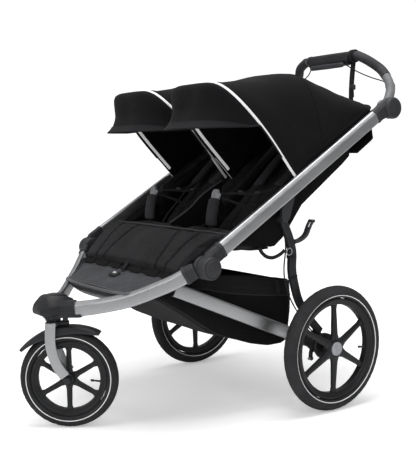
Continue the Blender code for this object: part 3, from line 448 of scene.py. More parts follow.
def sweep(path, sections, up=(0, 0, 1)):
    """Carries one section, or one for each point, along a path."""
    path = [Vector(point) for point in path]
    if isinstance(sections[0][0], (int, float)):
        sections = [sections] * len(path)
    rings = []
    for point, tangent, section in zip(path, tangents(path), sections):
        across = tangent.cross(Vector(up)).normalized()
        high = across.cross(tangent).normalized()
        rings.append([point + across * x + high * y for x, y in section])
    return loft(rings)


def scaled(section, width, height=None):
    height = width if height is None else height
    return [(x * width, y * height) for x, y in section]


def fitted_sweep(section, stations):
    """A sweep with stations (point, scale) or (point, width scale, height scale)."""
    return sweep([station[0] for station in stations],
                 [scaled(section, *station[1:]) for station in stations])


def capped_sweep(path, section, up=(0, 0, 1)):
    """A sweep whose ends are slightly rounded over."""
    edge = 0.0015
    path = [Vector(point) for point in path]
    first, last = (path[1] - path[0]).normalized(), (path[-1] - path[-2]).normalized()
    reach = max(max(abs(x), abs(y)) for x, y in section)
    end = scaled(section, (reach - edge) / reach)
    full = [path[0], path[0] + first * edge] + path[1:-1] + [path[-1] - last * edge, path[-1]]
    return sweep(full, [end] + [section] * (len(full) - 2) + [end], up)


def ribbon(path, width, thick, up=(0, 0, 1)):
    return sweep(path, box_section(width / 2, thick / 2, thick * 0.45, 4), up)


def pipe(path, radius, count=14):
    """A round tube; the radius is one number or one for each point."""
    path = [Vector(point) for point in path]
    ways = tangents(path)
    level = Vector((0, 0, 1)) if abs(ways[0].z) < 0.9 else Vector((1, 0, 0))
    across = ways[0].cross(level).normalized()
    rings = []
    for i, (point, way) in enumerate(zip(path, ways)):
        across = (across - way * across.dot(way)).normalized()
        high = way.cross(across)
        reach = radius[i] if isinstance(radius, (list, tuple)) else radius
        rings.append([point + (across * cos(angle) + high * sin(angle)) * reach
                      for angle in turns(count)])
    return loft(rings)


def lathe(stations, centre=(0, 0), count=48):
    """Turned about X: stations are (x, radius), the centre is (y, z)."""
    y0, z0 = centre
    return loft([[(x, y0 + r * cos(angle), z0 + r * sin(angle)) for angle in turns(count)]
                 for x, r in stations])


def turned(profile, count, centre=(0, 0)):
    """A closed ring turned about X: the profile is a loop of (x, radius)."""
    y0, z0 = centre
    return loft([[(x, y0 + r * cos(angle), z0 + r * sin(angle)) for x, r in profile]
                 for angle in turns(count)], closed=True)


def level_row(half, y, z, count, middle=0):
    """Points along X, evenly spaced about the middle."""
    return [(middle + half * x, y, z) for x in np.linspace(-1, 1, count)]


def normals_away(grid, row, col, centre):
    """A grid's normals, with the one at (row, col) pointing away from the centre."""
    normals = np.cross(np.gradient(grid, axis=1), np.gradient(grid, axis=0))
    normals = normals / np.maximum(np.linalg.norm(normals, axis=2, keepdims=True), 1e-12)
    if np.dot(normals[row, col], grid[row, col] - np.asarray(centre)) < 0:
        normals = -normals
    return normals


def shell(front, back, back_order=(0, 3, 2, 1)):
    """Two grids joined round their edges; back_order winds the back's quads."""
    vertices = [tuple(point) for grid in (front, back) for point in grid.reshape(-1, 3)]
    rows, cols = front.shape[:2]
    far = rows * cols
    faces = []
    for i in range(rows - 1):
        for j in range(cols - 1):
            here, below = i * cols + j, (i + 1) * cols + j
            quad = (here, here + 1, below + 1, below)
            faces.append(quad)
            faces.append(tuple(far + quad[k] for k in back_order))
    for i in range(rows - 1):
        for j in (0, cols - 1):
            here, below = i * cols + j, (i + 1) * cols + j
            faces.append((here, below, far + below, far + here))
    for j in range(cols - 1):
        for i in (0, rows - 1):
            here = i * cols + j
            faces.append((here, here + 1, far + here + 1, far + here))
    return vertices, faces


def sheet(grid, thick, towards):
    """A closed sheet from a grid, thickened towards the given point."""
    grid = np.asarray(grid, float)
    rows, cols = grid.shape[:2]
    normals = -normals_away(grid, rows // 2, cols // 2, towards)
    return shell(grid, grid + normals * thick)


# -------------------------------------------------------------------- frame

# Frame tube section: flat outer wall with a broad chamfer that looks up
TUBE_SECTION = rounded([
    (-0.0108, -0.0205), (0.0085, -0.0212), (0.0112, -0.0165), (0.0112, 0.0098),
    (0.0022, 0.0208), (-0.0085, 0.0212), (-0.0112, 0.0165)], 0.0026)


def tube_z(y):
    """Height of the upper frame tube's centre line."""
    return TUBE_LOW[2] + (TUBE_TOP[2] - TUBE_LOW[2]) / (TUBE_TOP[1] - TUBE_LOW[1]) * (
        y - TUBE_LOW[1])


def frame_tubes():
    low, top = Vector(TUBE_LOW), Vector(TUBE_TOP)
    lower = sweep(smooth(LOWER_TUBE, 10), TUBE_SECTION)
    upper = sweep([low.lerp(top, k / 12) for k in range(13)], TUBE_SECTION)
    start, end = Vector((0.262, *STRUT_TOP)), Vector((0.300, 0.0, AXLE_Z))
    way = (end - start).normalized()
    section = rounded([(-0.0095, -0.0200), (0.0095, -0.0200), (0.0100, 0.0150),
                       (0.0060, 0.0203), (-0.0085, 0.0203)], 0.0030)
    strut = capped_sweep([start - way * 0.0135, start.lerp(end, 0.3), start.lerp(end, 0.6),
                          end - way * 0.0310], section)
    for side in SIDES:
        put("lower_frame_tube_*", lower, ALUMINIUM, "front_frame", "lower_tube_*", 32, side)
        put("upper_frame_tube_*", upper, ALUMINIUM, "upper_frame", "upper_tube_*", 32, side)
        put("strut_*", strut, ALUMINIUM, "rear_arm", "rear_strut_*", 32, side)


# Head block, front to rear: y, half width, bottom z, top z, width share of the flat top
HEAD = [
    (-0.8170, 0.0240, 0.3450, 0.3640, 0.62), (-0.8160, 0.0275, 0.3410, 0.3680, 0.62),
    (-0.8120, 0.0310, 0.3380, 0.3730, 0.60), (-0.7960, 0.0405, 0.3345, 0.3875, 0.52),
    (-0.7900, 0.0425, 0.3340, 0.3910, 0.50), (-0.7800, 0.0445, 0.3340, 0.3930, 0.50),
    (-0.7500, 0.0450, 0.3340, 0.3905, 0.52), (-0.7250, 0.0415, 0.3340, 0.3850, 0.52),
    (-0.7100, 0.0360, 0.3360, 0.3790, 0.52), (-0.7045, 0.0290, 0.3390, 0.3740, 0.52)]
# Collar under the head: z, radius
COLLAR = [
    (0.3162, 0.0205), (0.3175, 0.0222), (0.3235, 0.0226), (0.3245, 0.0255), (0.3275, 0.0262),
    (0.3300, 0.0262), (0.3312, 0.0300), (0.3340, 0.0312), (0.3400, 0.0312)]
# Ridge on top of the head: y, z, width scale
RIDGE = [
    (-0.8010, 0.3815, 0.75), (-0.7920, 0.3860, 0.9), (-0.7780, 0.3910, 1.0),
    (-0.7550, 0.3932, 1.0), (-0.7360, 0.3908, 0.95), (-0.7250, 0.3875, 0.8)]


def head_block():
    """Faceted nose over the steering axis, with a box sleeve to each lower tube."""
    head = []
    for y, half, low, high, flat in HEAD:
        waist = low + (high - low) * 0.50
        outline = [(-half * 0.86, low), (half * 0.86, low), (half, low + 0.006), (half, waist),
                   (half * flat, high), (-half * flat, high), (-half, waist),
                   (-half, low + 0.006)]
        head.append([(x, y, z) for x, z in rounded(outline, 0.0034)])
    sleeve_section = rounded([
        (-0.0142, -0.0240), (0.0142, -0.0240), (0.0155, -0.0180), (0.0155, 0.0110),
        (0.0070, 0.0240), (-0.0110, 0.0243), (-0.0150, 0.0190)], 0.0035, 4)
    start, end = Vector((0.012, -0.7770, 0.3515)), Vector((0.0690, -0.7252, 0.3562))
    way = (end - start).normalized()
    sleeve = fitted_sweep(sleeve_section, [
        (start, 0.9), (start.lerp(end, 0.35), 1.0), (start.lerp(end, 0.7), 1.0),
        (end - way * 0.006, 1.01), (end - way * 0.0012, 1.01), (end, 0.96)])
    # the sleeve's underside runs on as a short tongue below the tube
    tongue_section = rounded([
        (-0.0135, -0.0245), (0.0135, -0.0245), (0.0150, -0.0200), (0.0150, -0.0150),
        (-0.0140, -0.0150), (-0.0145, -0.0200)], 0.002)
    tongue = fitted_sweep(tongue_section, [
        (end - way * 0.004, 1.0), (end + way * 0.006, 1.0), (end + way * 0.0165, 1.0),
        (end + way * 0.0180, 0.97)])
    collar = loft([[(r * cos(angle), STEER_Y + r * sin(angle), z) for angle in turns(48)]
                   for z, r in COLLAR])
    ridge_section = rounded([(-0.020, -0.0030), (0.020, -0.0030), (0.0185, 0.0018),
                             (-0.0185, 0.0018)], 0.0012, 2)
    ridge = loft([[(x * scale, y, z + high) for x, high in ridge_section]
                  for y, z, scale in RIDGE])
    put("head_block_cover", merged(loft(head), both(merged(sleeve, tongue)), collar, ridge),
        BLACK, "front_frame", "head_block", 24)


def collar_lugs():
    """Two rings of eight lugs round the collar."""
    for k, (z, radius) in enumerate(((0.3325, 0.0308), (0.3265, 0.0258))):
        lug = loft([[(radius + x, -0.0042 + y, -0.002), (radius + x, 0.0042 - y, -0.002),
                     (radius + x, 0.0042 - y, 0.002), (radius + x, -0.0042 + y, 0.002)]
                    for x, y in ((-0.003, 0), (0.001, 0), (0.0016, 0.001))])
        place = Matrix.Translation((0, STEER_Y, z))
        lugs = [moved(lug, place @ Matrix.Rotation(angle + 0.2 * k, 4, "Z"))
                for angle in turns(8)]
        put(f"steering_collar_lugs_{k}", merged(*lugs), GREY, "front_frame", crease=40)


# Discs as (x, radius)
INNER_DISC = [(0.3212, 0.0280), (0.3220, 0.0310), (0.3238, 0.0328), (0.3362, 0.0332),
              (0.3374, 0.0326)]
OUTER_DISC = [
    (0.3388, 0.0310), (0.3396, 0.0318), (0.3660, 0.0325), (0.3700, 0.0318), (0.3726, 0.0298),
    (0.3734, 0.0272), (0.3726, 0.0254), (0.3726, 0.0242), (0.3740, 0.0230), (0.3755, 0.0212),
    (0.3762, 0.0180), (0.3765, 0.0090)]
HANDLE_DISC = [
    (0.3454, 0.0322), (0.3462, 0.0338), (0.3650, 0.0348), (0.3700, 0.0340), (0.3738, 0.0312),
    (0.3757, 0.0262), (0.3764, 0.0200), (0.3764, 0.0080)]


def hubs():
    """Folding hubs: the inner disc and cuff stay with the front frame, the outer
    disc and neck with the upper tube, which also carries the handle joint."""
    end = Vector(LOWER_TUBE[-1])
    way = (end - Vector(LOWER_TUBE[-2])).normalized()
    cuff_section = rounded([
        (-0.0132, -0.0235), (0.0125, -0.0240), (0.0140, 0.0100), (0.0050, 0.0240),
        (-0.0100, 0.0243), (-0.0140, 0.0190)], 0.004, 4)
    cuff = fitted_sweep(cuff_section, [(end + way * distance, scale) for distance, scale in (
        (-0.0060, 1.0), (-0.0045, 1.07), (0.0045, 1.07), (0.0050, 1.0), (0.016, 1.0),
        (0.029, 0.9))])
    front = merged(cuff, lathe(INNER_DISC, FRAME_HUB))

    low, top = Vector(TUBE_LOW), Vector(TUBE_TOP)
    way = (top - low).normalized()
    neck_section = rounded([
        (-0.0122, -0.0222), (0.0100, -0.0224), (0.0120, -0.0175), (0.0122, 0.0104),
        (0.0032, 0.0222), (-0.0098, 0.0224), (-0.0122, 0.0178)], 0.0022)
    hub = Vector((0.3515, *FRAME_HUB))
    neck = fitted_sweep(neck_section, [
        (hub + Vector((0, -0.010, 0.002)), 0.96, 1.02),
        (hub + Vector((0, 0.006, 0.014)), 1.0, 1.04),
        (low - way * 0.036, 1.0, 1.02), (low - way * 0.022, 0.99, 1.0),
        (low - way * 0.0065, 0.97, 0.98), (low - way * 0.0060, 1.03),
        (low + way * 0.0040, 1.03), (low + way * 0.0050, 0.98)])
    outer = merged(lathe(OUTER_DISC, FRAME_HUB, 64), neck)

    # long neck over the tube's top end that swells into a teardrop cover
    hub = Vector((0.3585, *HANDLE_PIVOT))
    teardrop = fitted_sweep(neck_section, [
        (top - way * 0.0050, 0.98), (top - way * 0.0045, 1.02), (top + way * 0.0040, 1.02),
        (top + way * 0.0045, 0.97), (top + way * 0.018, 0.95, 0.99),
        (top + way * 0.034 + Vector((0.003, 0, 0)), 0.95, 1.10),
        (top + way * 0.050 + Vector((0.006, 0, 0)), 0.97, 1.28),
        (hub + Vector((0, -0.004, -0.003)), 0.97, 1.38),
        (hub + Vector((0, 0.018, 0.004)), 0.92, 1.15)])
    joint = merged(lathe(HANDLE_DISC, HANDLE_PIVOT, 64), teardrop)
    for side in SIDES:
        put("hub_front_*", front, HUB_GREY, "front_frame", "hub_*", 35, side)
        put("hub_outer_*", outer, HUB_GREY, "upper_frame", "hub_cover_*", 35, side)
        put("handle_joint_*", joint, HUB_GREY, "upper_frame", "handle_pivot_*", 35, side)


# ----------------------------------------------------------------- handlebar

# Handlebar arm from the pivot to the crossbar: x, y, z
ARM = [
    (0.3310, 0.2700, 0.9500), (0.3270, 0.2900, 0.9800), (0.3070, 0.3180, 1.0060),
    (0.2770, 0.3450, 1.0300), (0.2450, 0.3640, 1.0560), (0.2080, 0.3740, 1.0850),
    (0.1720, 0.3520, 1.1150), (0.1320, *CROSSBAR)]


def handlebar():
    arm = smooth(ARM, 8)
    whole = arm + [Vector((0.0, *CROSSBAR))] + [Vector((-p.x, p.y, p.z)) for p in reversed(arm)]
    end = lathe(((0.3182, 0.0262), (0.3190, 0.0280), (0.3215, 0.0290), (0.3440, 0.0290),
                 (0.3448, 0.0284)), HANDLE_PIVOT)
    put("handlebar_frame", merged(pipe(whole, 0.0118, 20), both(end)), GREY_TUBE, "handlebar",
        "handlebar_tube", 40)

    # foam from the upper bend on to the crossbar
    path = arm[31:] + [Vector((0.1240, *CROSSBAR))]
    path = ([path[0], path[0].lerp(path[1], 0.25)] + path[1:-1]
            + [path[-2].lerp(path[-1], 0.75), path[-1]])
    foam = pipe(path, [0.0128, 0.0160] + [0.0164] * (len(path) - 4) + [0.0160, 0.0128], 28)

    # tapering sleeve on the lower arm, and a collar round it
    low_arm = arm[2:32]
    radii = [0.0156 - 0.0008 * k / (len(low_arm) - 1) for k in range(len(low_arm))]
    path = ([low_arm[0].lerp(low_arm[1], -0.2)] + low_arm + [low_arm[-1].lerp(arm[32], 0.3)])
    sleeve = pipe(path, [0.0128] + radii + [0.0128], 28)
    collar = pipe([arm[19], arm[19].lerp(arm[20], 0.2), arm[20], arm[20].lerp(arm[21], 0.2)],
                  [0.0156, 0.0164, 0.0164, 0.0156], 28)
    for side in SIDES:
        put("grip_foam_*", foam, FOAM, "handlebar", "handle_grip_*", 50, side)
        put("arm_sleeve_*", sleeve, SLEEVE, "handlebar", crease=40, side=side)
        put("arm_collar_*", collar, SLEEVE, "handlebar", crease=35, side=side)


def hand_brake():
    """Ribbed sleeve on the crossbar, its end rings, a lever bar below and cables."""
    ring = []
    for angle in turns(48):
        radius = 0.0182 + 0.0125 * max(0.0, -sin(angle + 0.25)) ** 2.2
        radius += 0.00045 * cos(24 * angle) * (1 if sin(angle) > -0.2 else 0.25)
        ring.append((radius * cos(angle), radius * sin(angle)))
    # stations: x, scale
    sleeve = loft([[(x, BAR_Y + y * scale, BAR_Z + z * scale) for y, z in ring]
                   for x, scale in ((-0.0985, 0.84), (-0.0975, 0.93), (-0.0945, 0.985),
                                    (-0.090, 1.0), (0.0, 1.015), (0.090, 1.0),
                                    (0.0945, 0.985), (0.0975, 0.93), (0.0985, 0.84))])
    put("brake_sleeve", sleeve, BLACK, "brake_twist", "brake_twist_grip", 35)
    rings = [
        lathe(((-0.1120, 0.0170), (-0.1108, 0.0192), (-0.1012, 0.0198), (-0.0998, 0.0185)),
              CROSSBAR),
        lathe(((0.0998, 0.0170), (0.1012, 0.0184), (0.1210, 0.0186), (0.1235, 0.0180),
               (0.1240, 0.0160)), CROSSBAR)]
    put("brake_end_rings", merged(*rings), BLACK, "handlebar", crease=35)
    lever = loft([[(x, BAR_Y - 0.020 + y, BAR_Z - 0.028 + z)
                   for y, z in oval(20, 0.0055 * scale, 0.0085 * scale, 3.0)]
                  for x, scale in ((-0.086, 0.55), (-0.083, 0.9), (-0.075, 1.0), (0.0, 1.08),
                                   (0.070, 1.0), (0.078, 0.9), (0.081, 0.55))])
    put("brake_lever_bar", lever, GREY, "brake_twist", crease=35, slot="black_plastic")
    for side, sign in zip(SIDES, (1, -1)):
        cable = smooth([(0.088 * sign, BAR_Y - 0.014, BAR_Z - 0.028),
                        (0.120 * sign, BAR_Y - 0.002, BAR_Z - 0.050),
                        (0.180 * sign, BAR_Y + 0.004, BAR_Z - 0.076),
                        (0.240 * sign, BAR_Y + 0.004, BAR_Z - 0.095),
                        (0.280 * sign, 0.343, 1.028)], 8)
        put(f"brake_cable_{side}", pipe(cable, 0.0021, 10), CABLE, "handlebar")


def wrist_strap():
    """Loop round the crossbar and two webbing tails through a plastic slider."""
    loop = turned([(0.1035, 0.0206), (0.1205, 0.0206), (0.1210, 0.0220), (0.1205, 0.0228),
                   (0.1035, 0.0228), (0.1030, 0.0220)], 48, CROSSBAR)
    long_tail = ribbon(smooth([
        (0.110, BAR_Y + 0.001, BAR_Z - 0.0205), (0.108, BAR_Y - 0.003, BAR_Z - 0.060),
        (0.107, BAR_Y - 0.006, BAR_Z - 0.115), (0.105, BAR_Y - 0.004, BAR_Z - 0.160)], 8),
        0.0024, 0.0210, up=(1, 0, 0))
    short_tail = ribbon(smooth([
        (0.108, BAR_Y + 0.004, BAR_Z - 0.0205), (0.105, BAR_Y + 0.003, BAR_Z - 0.060),
        (0.104, BAR_Y + 0.000, BAR_Z - 0.110), (0.104, BAR_Y + 0.002, BAR_Z - 0.142)], 8),
        0.0020, 0.0200, up=(1, 0, 0))
    put("wrist_strap_webbing", merged(loop, long_tail, short_tail), WEBBING, "handlebar",
        "wrist_strap", 50)
    slider = stack(20, 0.0110, 0.0055, 4.0,
                   ((-0.009, 0.8), (-0.0075, 1.0), (0.0075, 1.0), (0.009, 0.8)),
                   (0.112, BAR_Y - 0.003, BAR_Z - 0.108))
    put("wrist_strap_slider", slider, BLACK, "handlebar", crease=40)


# --------------------------------------------------------------------- wheels

TREAD_DEPTH = 0.0009


def tyre(half, mid_radius, depth, blocks):
    """An open-bottomed oval section carried round, with tread grooves cut into it."""
    rows = 34
    reach = radians(137)
    rings = []
    for around in turns(288):
        line = []
        for j in range(rows):
            angle = -reach + 2 * reach * j / (rows - 1)
            x = half * signed_power(sin(angle), 1.06)
            radius = mid_radius + depth * cos(angle)
            aside = abs(angle) / radians(62)        # 0 at the crown, 1 at the tread's edge
            if aside < 1:
                phase = (around * blocks / (2 * pi) + aside * 0.9) % 1.0
                cross_cut = max(0.0, 1 - abs(phase - 0.5) / 0.22)
                ring_cut = max(0.0, 1 - abs(aside - 0.42) / 0.09)
                radius -= TREAD_DEPTH * min(1.0, max(cross_cut if aside > 0.16 else 0.0,
                                                     ring_cut))
            line.append((x, radius * cos(around), radius * sin(around)))
        rings.append(line)
    return loft(rings, closed=True)


def sidewall_line(half, mid_radius, depth, line_radius):
    """A thin ring on each sidewall."""
    edges = []
    for radius in (line_radius - 0.00115, line_radius + 0.00115):
        edges.append((half * sin(math.acos((radius - mid_radius) / depth)) ** 1.06, radius))
    (x1, r1), (x2, r2) = edges
    loop = [(x1 - 0.0010, r1), (x1 + 0.0005, r1), (x2 + 0.0005, r2), (x2 - 0.0010, r2)]
    return merged(*(turned([(x * sign, r) for x, r in loop], 160) for sign in (1, -1)))


def spoke(radii, widths, xs, depth, angle):
    """A tapering spoke with a crowned outer face; pairs run from hub to rim."""
    rings = []
    for k in range(7):
        share = k / 6
        flare = (1 + 0.42 * max(0.0, (0.16 - share) / 0.16) ** 2
                 + 0.75 * max(0.0, (share - 0.86) / 0.14) ** 2)
        wide = between(widths, share) * flare
        x = between(xs, share)
        radius = between(radii, share)
        deep = depth * (1 - 0.25 * share)
        section = [
            (-wide, -0.0010), (-wide * 0.93, 0.0008), (-wide * 0.40, 0.0032), (0, 0.0038),
            (wide * 0.40, 0.0032), (wide * 0.93, 0.0008), (wide, -0.0010),
            (wide * 0.90, -deep * 0.7), (wide * 0.62, -deep), (-wide * 0.62, -deep),
            (-wide * 0.90, -deep * 0.7)]
        rings.append([(x + rise, radius * cos(angle) - across * sin(angle),
                       radius * sin(angle) + across * cos(angle)) for across, rise in section])
    return loft(rings)


def rim(half, outer, inner, spoke_shape, hub):
    lip = [(half * 0.90, outer), (half, outer - 0.0022), (half * 1.02, outer - 0.0055),
           (half * 0.93, outer - 0.0085), (half * 0.82, outer - 0.0100),
           (half * 0.76, inner + 0.0060), (half * 0.66, inner + 0.0018), (half * 0.52, inner)]
    ring = turned(lip + [(-x, r) for x, r in reversed(lip)], 144)
    spokes = [spoke(angle=radians(90 + 60 * k), **spoke_shape) for k in range(6)]
    return merged(ring, *spokes, lathe(hub, count=56))


def valve(rim_inner):
    """Valve stem and cap that stand inward from the rim."""
    def stem(heights, radii):
        return pipe([(0.002, 0, rim_inner + height) for height in heights], radii, 12)
    part = merged(stem((0.004, -0.010, -0.020), [0.0032, 0.0030, 0.0024]),
                  stem((-0.018, -0.019, -0.028, -0.029), [0.0026, 0.0036, 0.0036, 0.0028]))
    return moved(part, Matrix.Rotation(radians(-96), 4, "X"))


def wheel(prefix, centre, tyre_shape, blocks, line_radius, rim_shape, body, cads, **place):
    put(f"{prefix}_tyre_body", shifted(tyre(blocks=blocks, **tyre_shape), *centre), TYRE, body,
        cads[0], **place)
    line = sidewall_line(line_radius=line_radius, **tyre_shape)
    put(f"{prefix}_sidewall_line", shifted(line, *centre), STRIPE, body, **place)
    put(f"{prefix}_rim_body", shifted(rim(**rim_shape), *centre), RIM, body, cads[1], 32,
        **place)
    put(f"{prefix}_valve", shifted(valve(rim_shape["inner"]), *centre), BLACK, body, crease=50,
        slot="rim_plastic", **place)


REAR_WHEEL = dict(
    tyre_shape=dict(half=0.0226, mid_radius=0.1742, depth=0.0208), blocks=44,
    line_radius=0.1665,
    rim_shape=dict(
        half=0.0175, outer=0.1570, inner=0.1375,
        spoke_shape=dict(radii=(0.0255, 0.1420), widths=(0.0122, 0.0074), xs=(0.0085, 0.0035),
                         depth=0.0125),
        hub=((0.0150, 0.0190), (0.0140, 0.0262), (0.0120, 0.0298), (0.0080, 0.0312),
             (-0.0080, 0.0312), (-0.0100, 0.0290), (-0.0120, 0.0230), (-0.0290, 0.0215),
             (-0.0300, 0.0200))))
FRONT_WHEEL = dict(
    tyre_shape=dict(half=0.0202, mid_radius=0.1262, depth=0.0188), blocks=36,
    line_radius=0.1240,
    rim_shape=dict(
        half=0.0150, outer=0.1110, inner=0.0915,
        spoke_shape=dict(radii=(0.0175, 0.0945), widths=(0.0088, 0.0072), xs=(0.0060, 0.0045),
                         depth=0.0120),
        hub=((0.0200, 0.0110), (0.0190, 0.0150), (0.0150, 0.0185), (0.0090, 0.0200),
             (-0.0090, 0.0200), (-0.0150, 0.0185), (-0.0190, 0.0150), (-0.0200, 0.0110))))


def hub_cap():
    """Disc with a shallow three-armed swirl."""
    disc = lathe(((0.0140, 0.0212), (0.0165, 0.0212), (0.0185, 0.0200), (0.0200, 0.0165),
                  (0.0204, 0.0120), (0.0206, 0.0060)), count=56)
    arms = []
    for start in turns(3):
        points = [(0.0200, (0.0035 + 0.0115 * share) * cos(start + 1.5 * share),
                   (0.0035 + 0.0115 * share) * sin(start + 1.5 * share))
                  for share in (0, 0.25, 0.5, 0.75, 1.0)]
        arms.append(pipe(smooth(points, 4), 0.0009, 8))
    return merged(disc, *arms)


def wheels():
    centre = (TRACK, 0, AXLE_Z)
    for side in SIDES:
        wheel("rear_*", centre, body="rear_wheel_*", cads=("rear_tyre_*", "rear_rim_*"),
              side=side, **REAR_WHEEL)
        put("hub_cap_cover_*", shifted(hub_cap(), *centre), CAP, "rear_wheel_*", "hub_cap_*",
            35, side)
    wheel("front", (0, TRAIL, FRONT_RADIUS), body="front_wheel",
          cads=("front_tyre", "front_rim"), fork=True, **FRONT_WHEEL)


# ---------------------------------------------------------------------- fork


def front_fork():
    blade = rounded([(-0.0042, -0.0152), (0.0030, -0.0152), (0.0042, -0.0105),
                     (0.0042, 0.0105), (0.0030, 0.0152), (-0.0042, 0.0152)], 0.0016)
    leg = smooth([(0.0348, 0.0000, 0.3120), (0.0350, -0.0015, 0.2850),
                  (0.0350, -0.0015, 0.2550), (0.0350, 0.0040, 0.2250),
                  (0.0350, 0.0170, 0.1900), (0.0350, TRAIL - 0.006, FRONT_RADIUS + 0.013)], 8)
    crown = stack(32, 0.0392, 0.0188, 4.5, ((0.3035, 0.90), (0.3045, 0.97), (0.3070, 1.0),
                                            (0.3120, 1.0), (0.3142, 0.96), (0.3150, 0.86)))
    tongue = stack(24, 0.0115, 0.0170, 4.0, ((0.3044, 0.92), (0.3055, 1.0), (0.3135, 1.0),
                                             (0.3147, 0.92)), (0, 0.030, 0))
    put("fork_lock_tongue", tongue, BLACK, "front_fork", crease=32, fork=True)
    put("fork_blades", merged(both(capped_sweep(leg, blade, up=(0, 1, 0.25))), crown),
        ALUMINIUM, "front_fork", "front_fork", 32, fork=True)
    nut = lathe(((0.0215, 0.0090), (0.0225, 0.0098), (0.0385, 0.0100), (0.0400, 0.0092),
                 (0.0415, 0.0088), (0.0422, 0.0060)), (TRAIL, FRONT_RADIUS), 40)
    put("front_axle_nuts", both(nut), BLACK, "front_fork", crease=32, fork=True)


def fender():
    """Curved shell over the front tyre, with turned-down sides."""
    rings = []
    for k in range(37):
        share = k / 36
        angle = radians(149 - 94 * share)
        away = abs(share - 0.5)
        radius = 0.1570 + 0.010 * (away * 2) ** 2.4
        half = (0.0262 * (1 - 0.28 * max(0.0, (away - 0.42) / 0.08) ** 2)
                * (1 + 0.05 * share))
        tip = max(0.0, (0.30 - share) / 0.30)
        y, z = TRAIL + radius * cos(angle), FRONT_RADIUS + radius * sin(angle)
        deep = (0.0070 + 0.0170 * max(0.0, sin(pi * (0.08 + 0.90 * share))) ** 0.8
                * (1 - 0.55 * tip))
        # width share, depth towards the wheel
        outer = [(-1.0, deep), (-0.995, deep * 0.6), (-0.94, 0.0038), (-0.80, 0.0010),
                 (-0.30, -0.0004), (0, -0.0008), (0.30, -0.0004), (0.80, 0.0010),
                 (0.94, 0.0038), (0.995, deep * 0.6), (1.0, deep)]
        inner = [(0.93, deep + 0.0002), (0.925, deep * 0.6), (0.86, 0.0054), (0.6, 0.0032),
                 (0, 0.0022), (-0.6, 0.0032), (-0.86, 0.0054), (-0.925, deep * 0.6),
                 (-0.93, deep + 0.0002)]
        rings.append([(half * x, y - cos(angle) * drop, z - sin(angle) * drop)
                      for x, drop in outer + inner])
    put("fender_shell", loft(rings), BLACK, "front_fork", "front_fender", 38, fork=True)


# ------------------------------------------------------------ rear structure


def axle_blocks():
    drum = lathe(((0.2850, 0.0200), (0.2870, 0.0262), (0.2920, 0.0280), (0.3250, 0.0285),
                  (0.3268, 0.0300), (0.3276, 0.0385), (0.3290, 0.0402), (0.3385, 0.0402),
                  (0.3398, 0.0390), (0.3400, 0.0200), (0.3402, 0.0062), (0.3755, 0.0058)),
                 (0, AXLE_Z), 56)
    lug = extruded(rounded([
        (-0.016, 0.205), (-0.018, 0.222), (-0.019, 0.244), (-0.006, 0.2535), (0.007, 0.244),
        (0.012, 0.222), (0.014, 0.205)], 0.006), (0.2990, 0.3085))
    arm = capped_sweep([(0.3060, -0.032, 0.2090), (0.3070, -0.018, 0.2060),
                        (0.3080, -0.004, 0.2000)],
                       rounded([(-0.013, -0.0235), (0.012, -0.0235), (0.013, 0.0235),
                                (-0.012, 0.0235)], 0.005))
    lever = capped_sweep(smooth([(0.3100, -0.022, 0.1900), (0.3120, -0.034, 0.1800),
                                 (0.3130, -0.038, 0.1640), (0.3130, -0.035, 0.1500)], 6),
                         box_section(0.004, 0.006, 0.0015, 2), up=(1, 0, 0))
    bolt = pipe([(0.3130, y, 0.1560) for y in (-0.048, -0.047, -0.030, -0.029)],
                [0.003, 0.0045, 0.0045, 0.003], 12)
    for side in SIDES:
        put("axle_block_*", merged(drum, lug, arm), BLACK, "rear_arm", "axle_housing_*", 35,
            side)
        put("release_lever_*", lever, BLACK, "rear_arm", crease=35, side=side)
        put("brake_adjuster_*", bolt, STEEL, "rear_arm", crease=35, side=side)


# Upright's centre line, top to bottom: y, z
UPRIGHT_X = 0.3180
UPRIGHT = [
    (-0.1645, 0.6044), (-0.1480, 0.5720), (-0.1330, 0.5370), (-0.1225, 0.4960),
    (-0.1230, 0.4467), (-0.1140, 0.4033), (-0.0930, 0.3440), (-0.0520, 0.2880),
    (-0.0060, 0.2400)]


def upright_bar():
    path = smooth([(UPRIGHT_X, y, z) for y, z in UPRIGHT], 8)
    sections = []
    for i in range(len(path)):
        share = i / (len(path) - 1)
        wide = 0.0118 + 0.0022 * sin(pi * min(1, share * 1.15))
        if share < 0.06:
            wide *= 0.85 + 0.15 * share / 0.06
        sections.append(rounded([
            (-0.0062, -wide), (0.0068, -wide), (0.0086, -wide * 0.6), (0.0086, wide * 0.6),
            (0.0068, wide), (-0.0062, wide)], 0.002))
    knob = lathe(((0.3100, 0.0120), (0.3110, 0.0130), (0.3255, 0.0130), (0.3266, 0.0118),
                  (0.3268, 0.0060)), UPRIGHT[0], 40)
    return merged(sweep(path, sections, up=(0, 1, 0.2)), knob)


def upright_bands():
    """Two webbing bands round the upright."""
    bands = []
    for y0, z in ((-0.1240, 0.4850), (-0.1190, 0.4230)):
        rings = []
        for angle in turns(24):
            x, y = UPRIGHT_X + 0.0100 * cos(angle), y0 + 0.0155 * sin(angle)
            outer_x, outer_y = x + (x - UPRIGHT_X) * 0.12, y + (y - y0) * 0.1
            rings.append([(x, y, z - 0.005), (outer_x, outer_y, z - 0.005),
                          (outer_x, outer_y, z + 0.005), (x, y, z + 0.005)])
        bands.append(loft(rings, closed=True))
    return merged(*bands)


def strap_ring():
    centre = Vector((0.3290, -0.1420, 0.5020))
    wire = 0.0018
    rings = []
    for angle in turns(24):
        point = Vector((0.3290, -0.1420 + 0.0105 * cos(angle), 0.5020 + 0.0105 * sin(angle)))
        out = (point - centre).normalized()
        rings.append([point + out * wire * cos(around) + Vector((1, 0, 0)) * wire * sin(around)
                      for around in turns(8)])
    return loft(rings, closed=True)


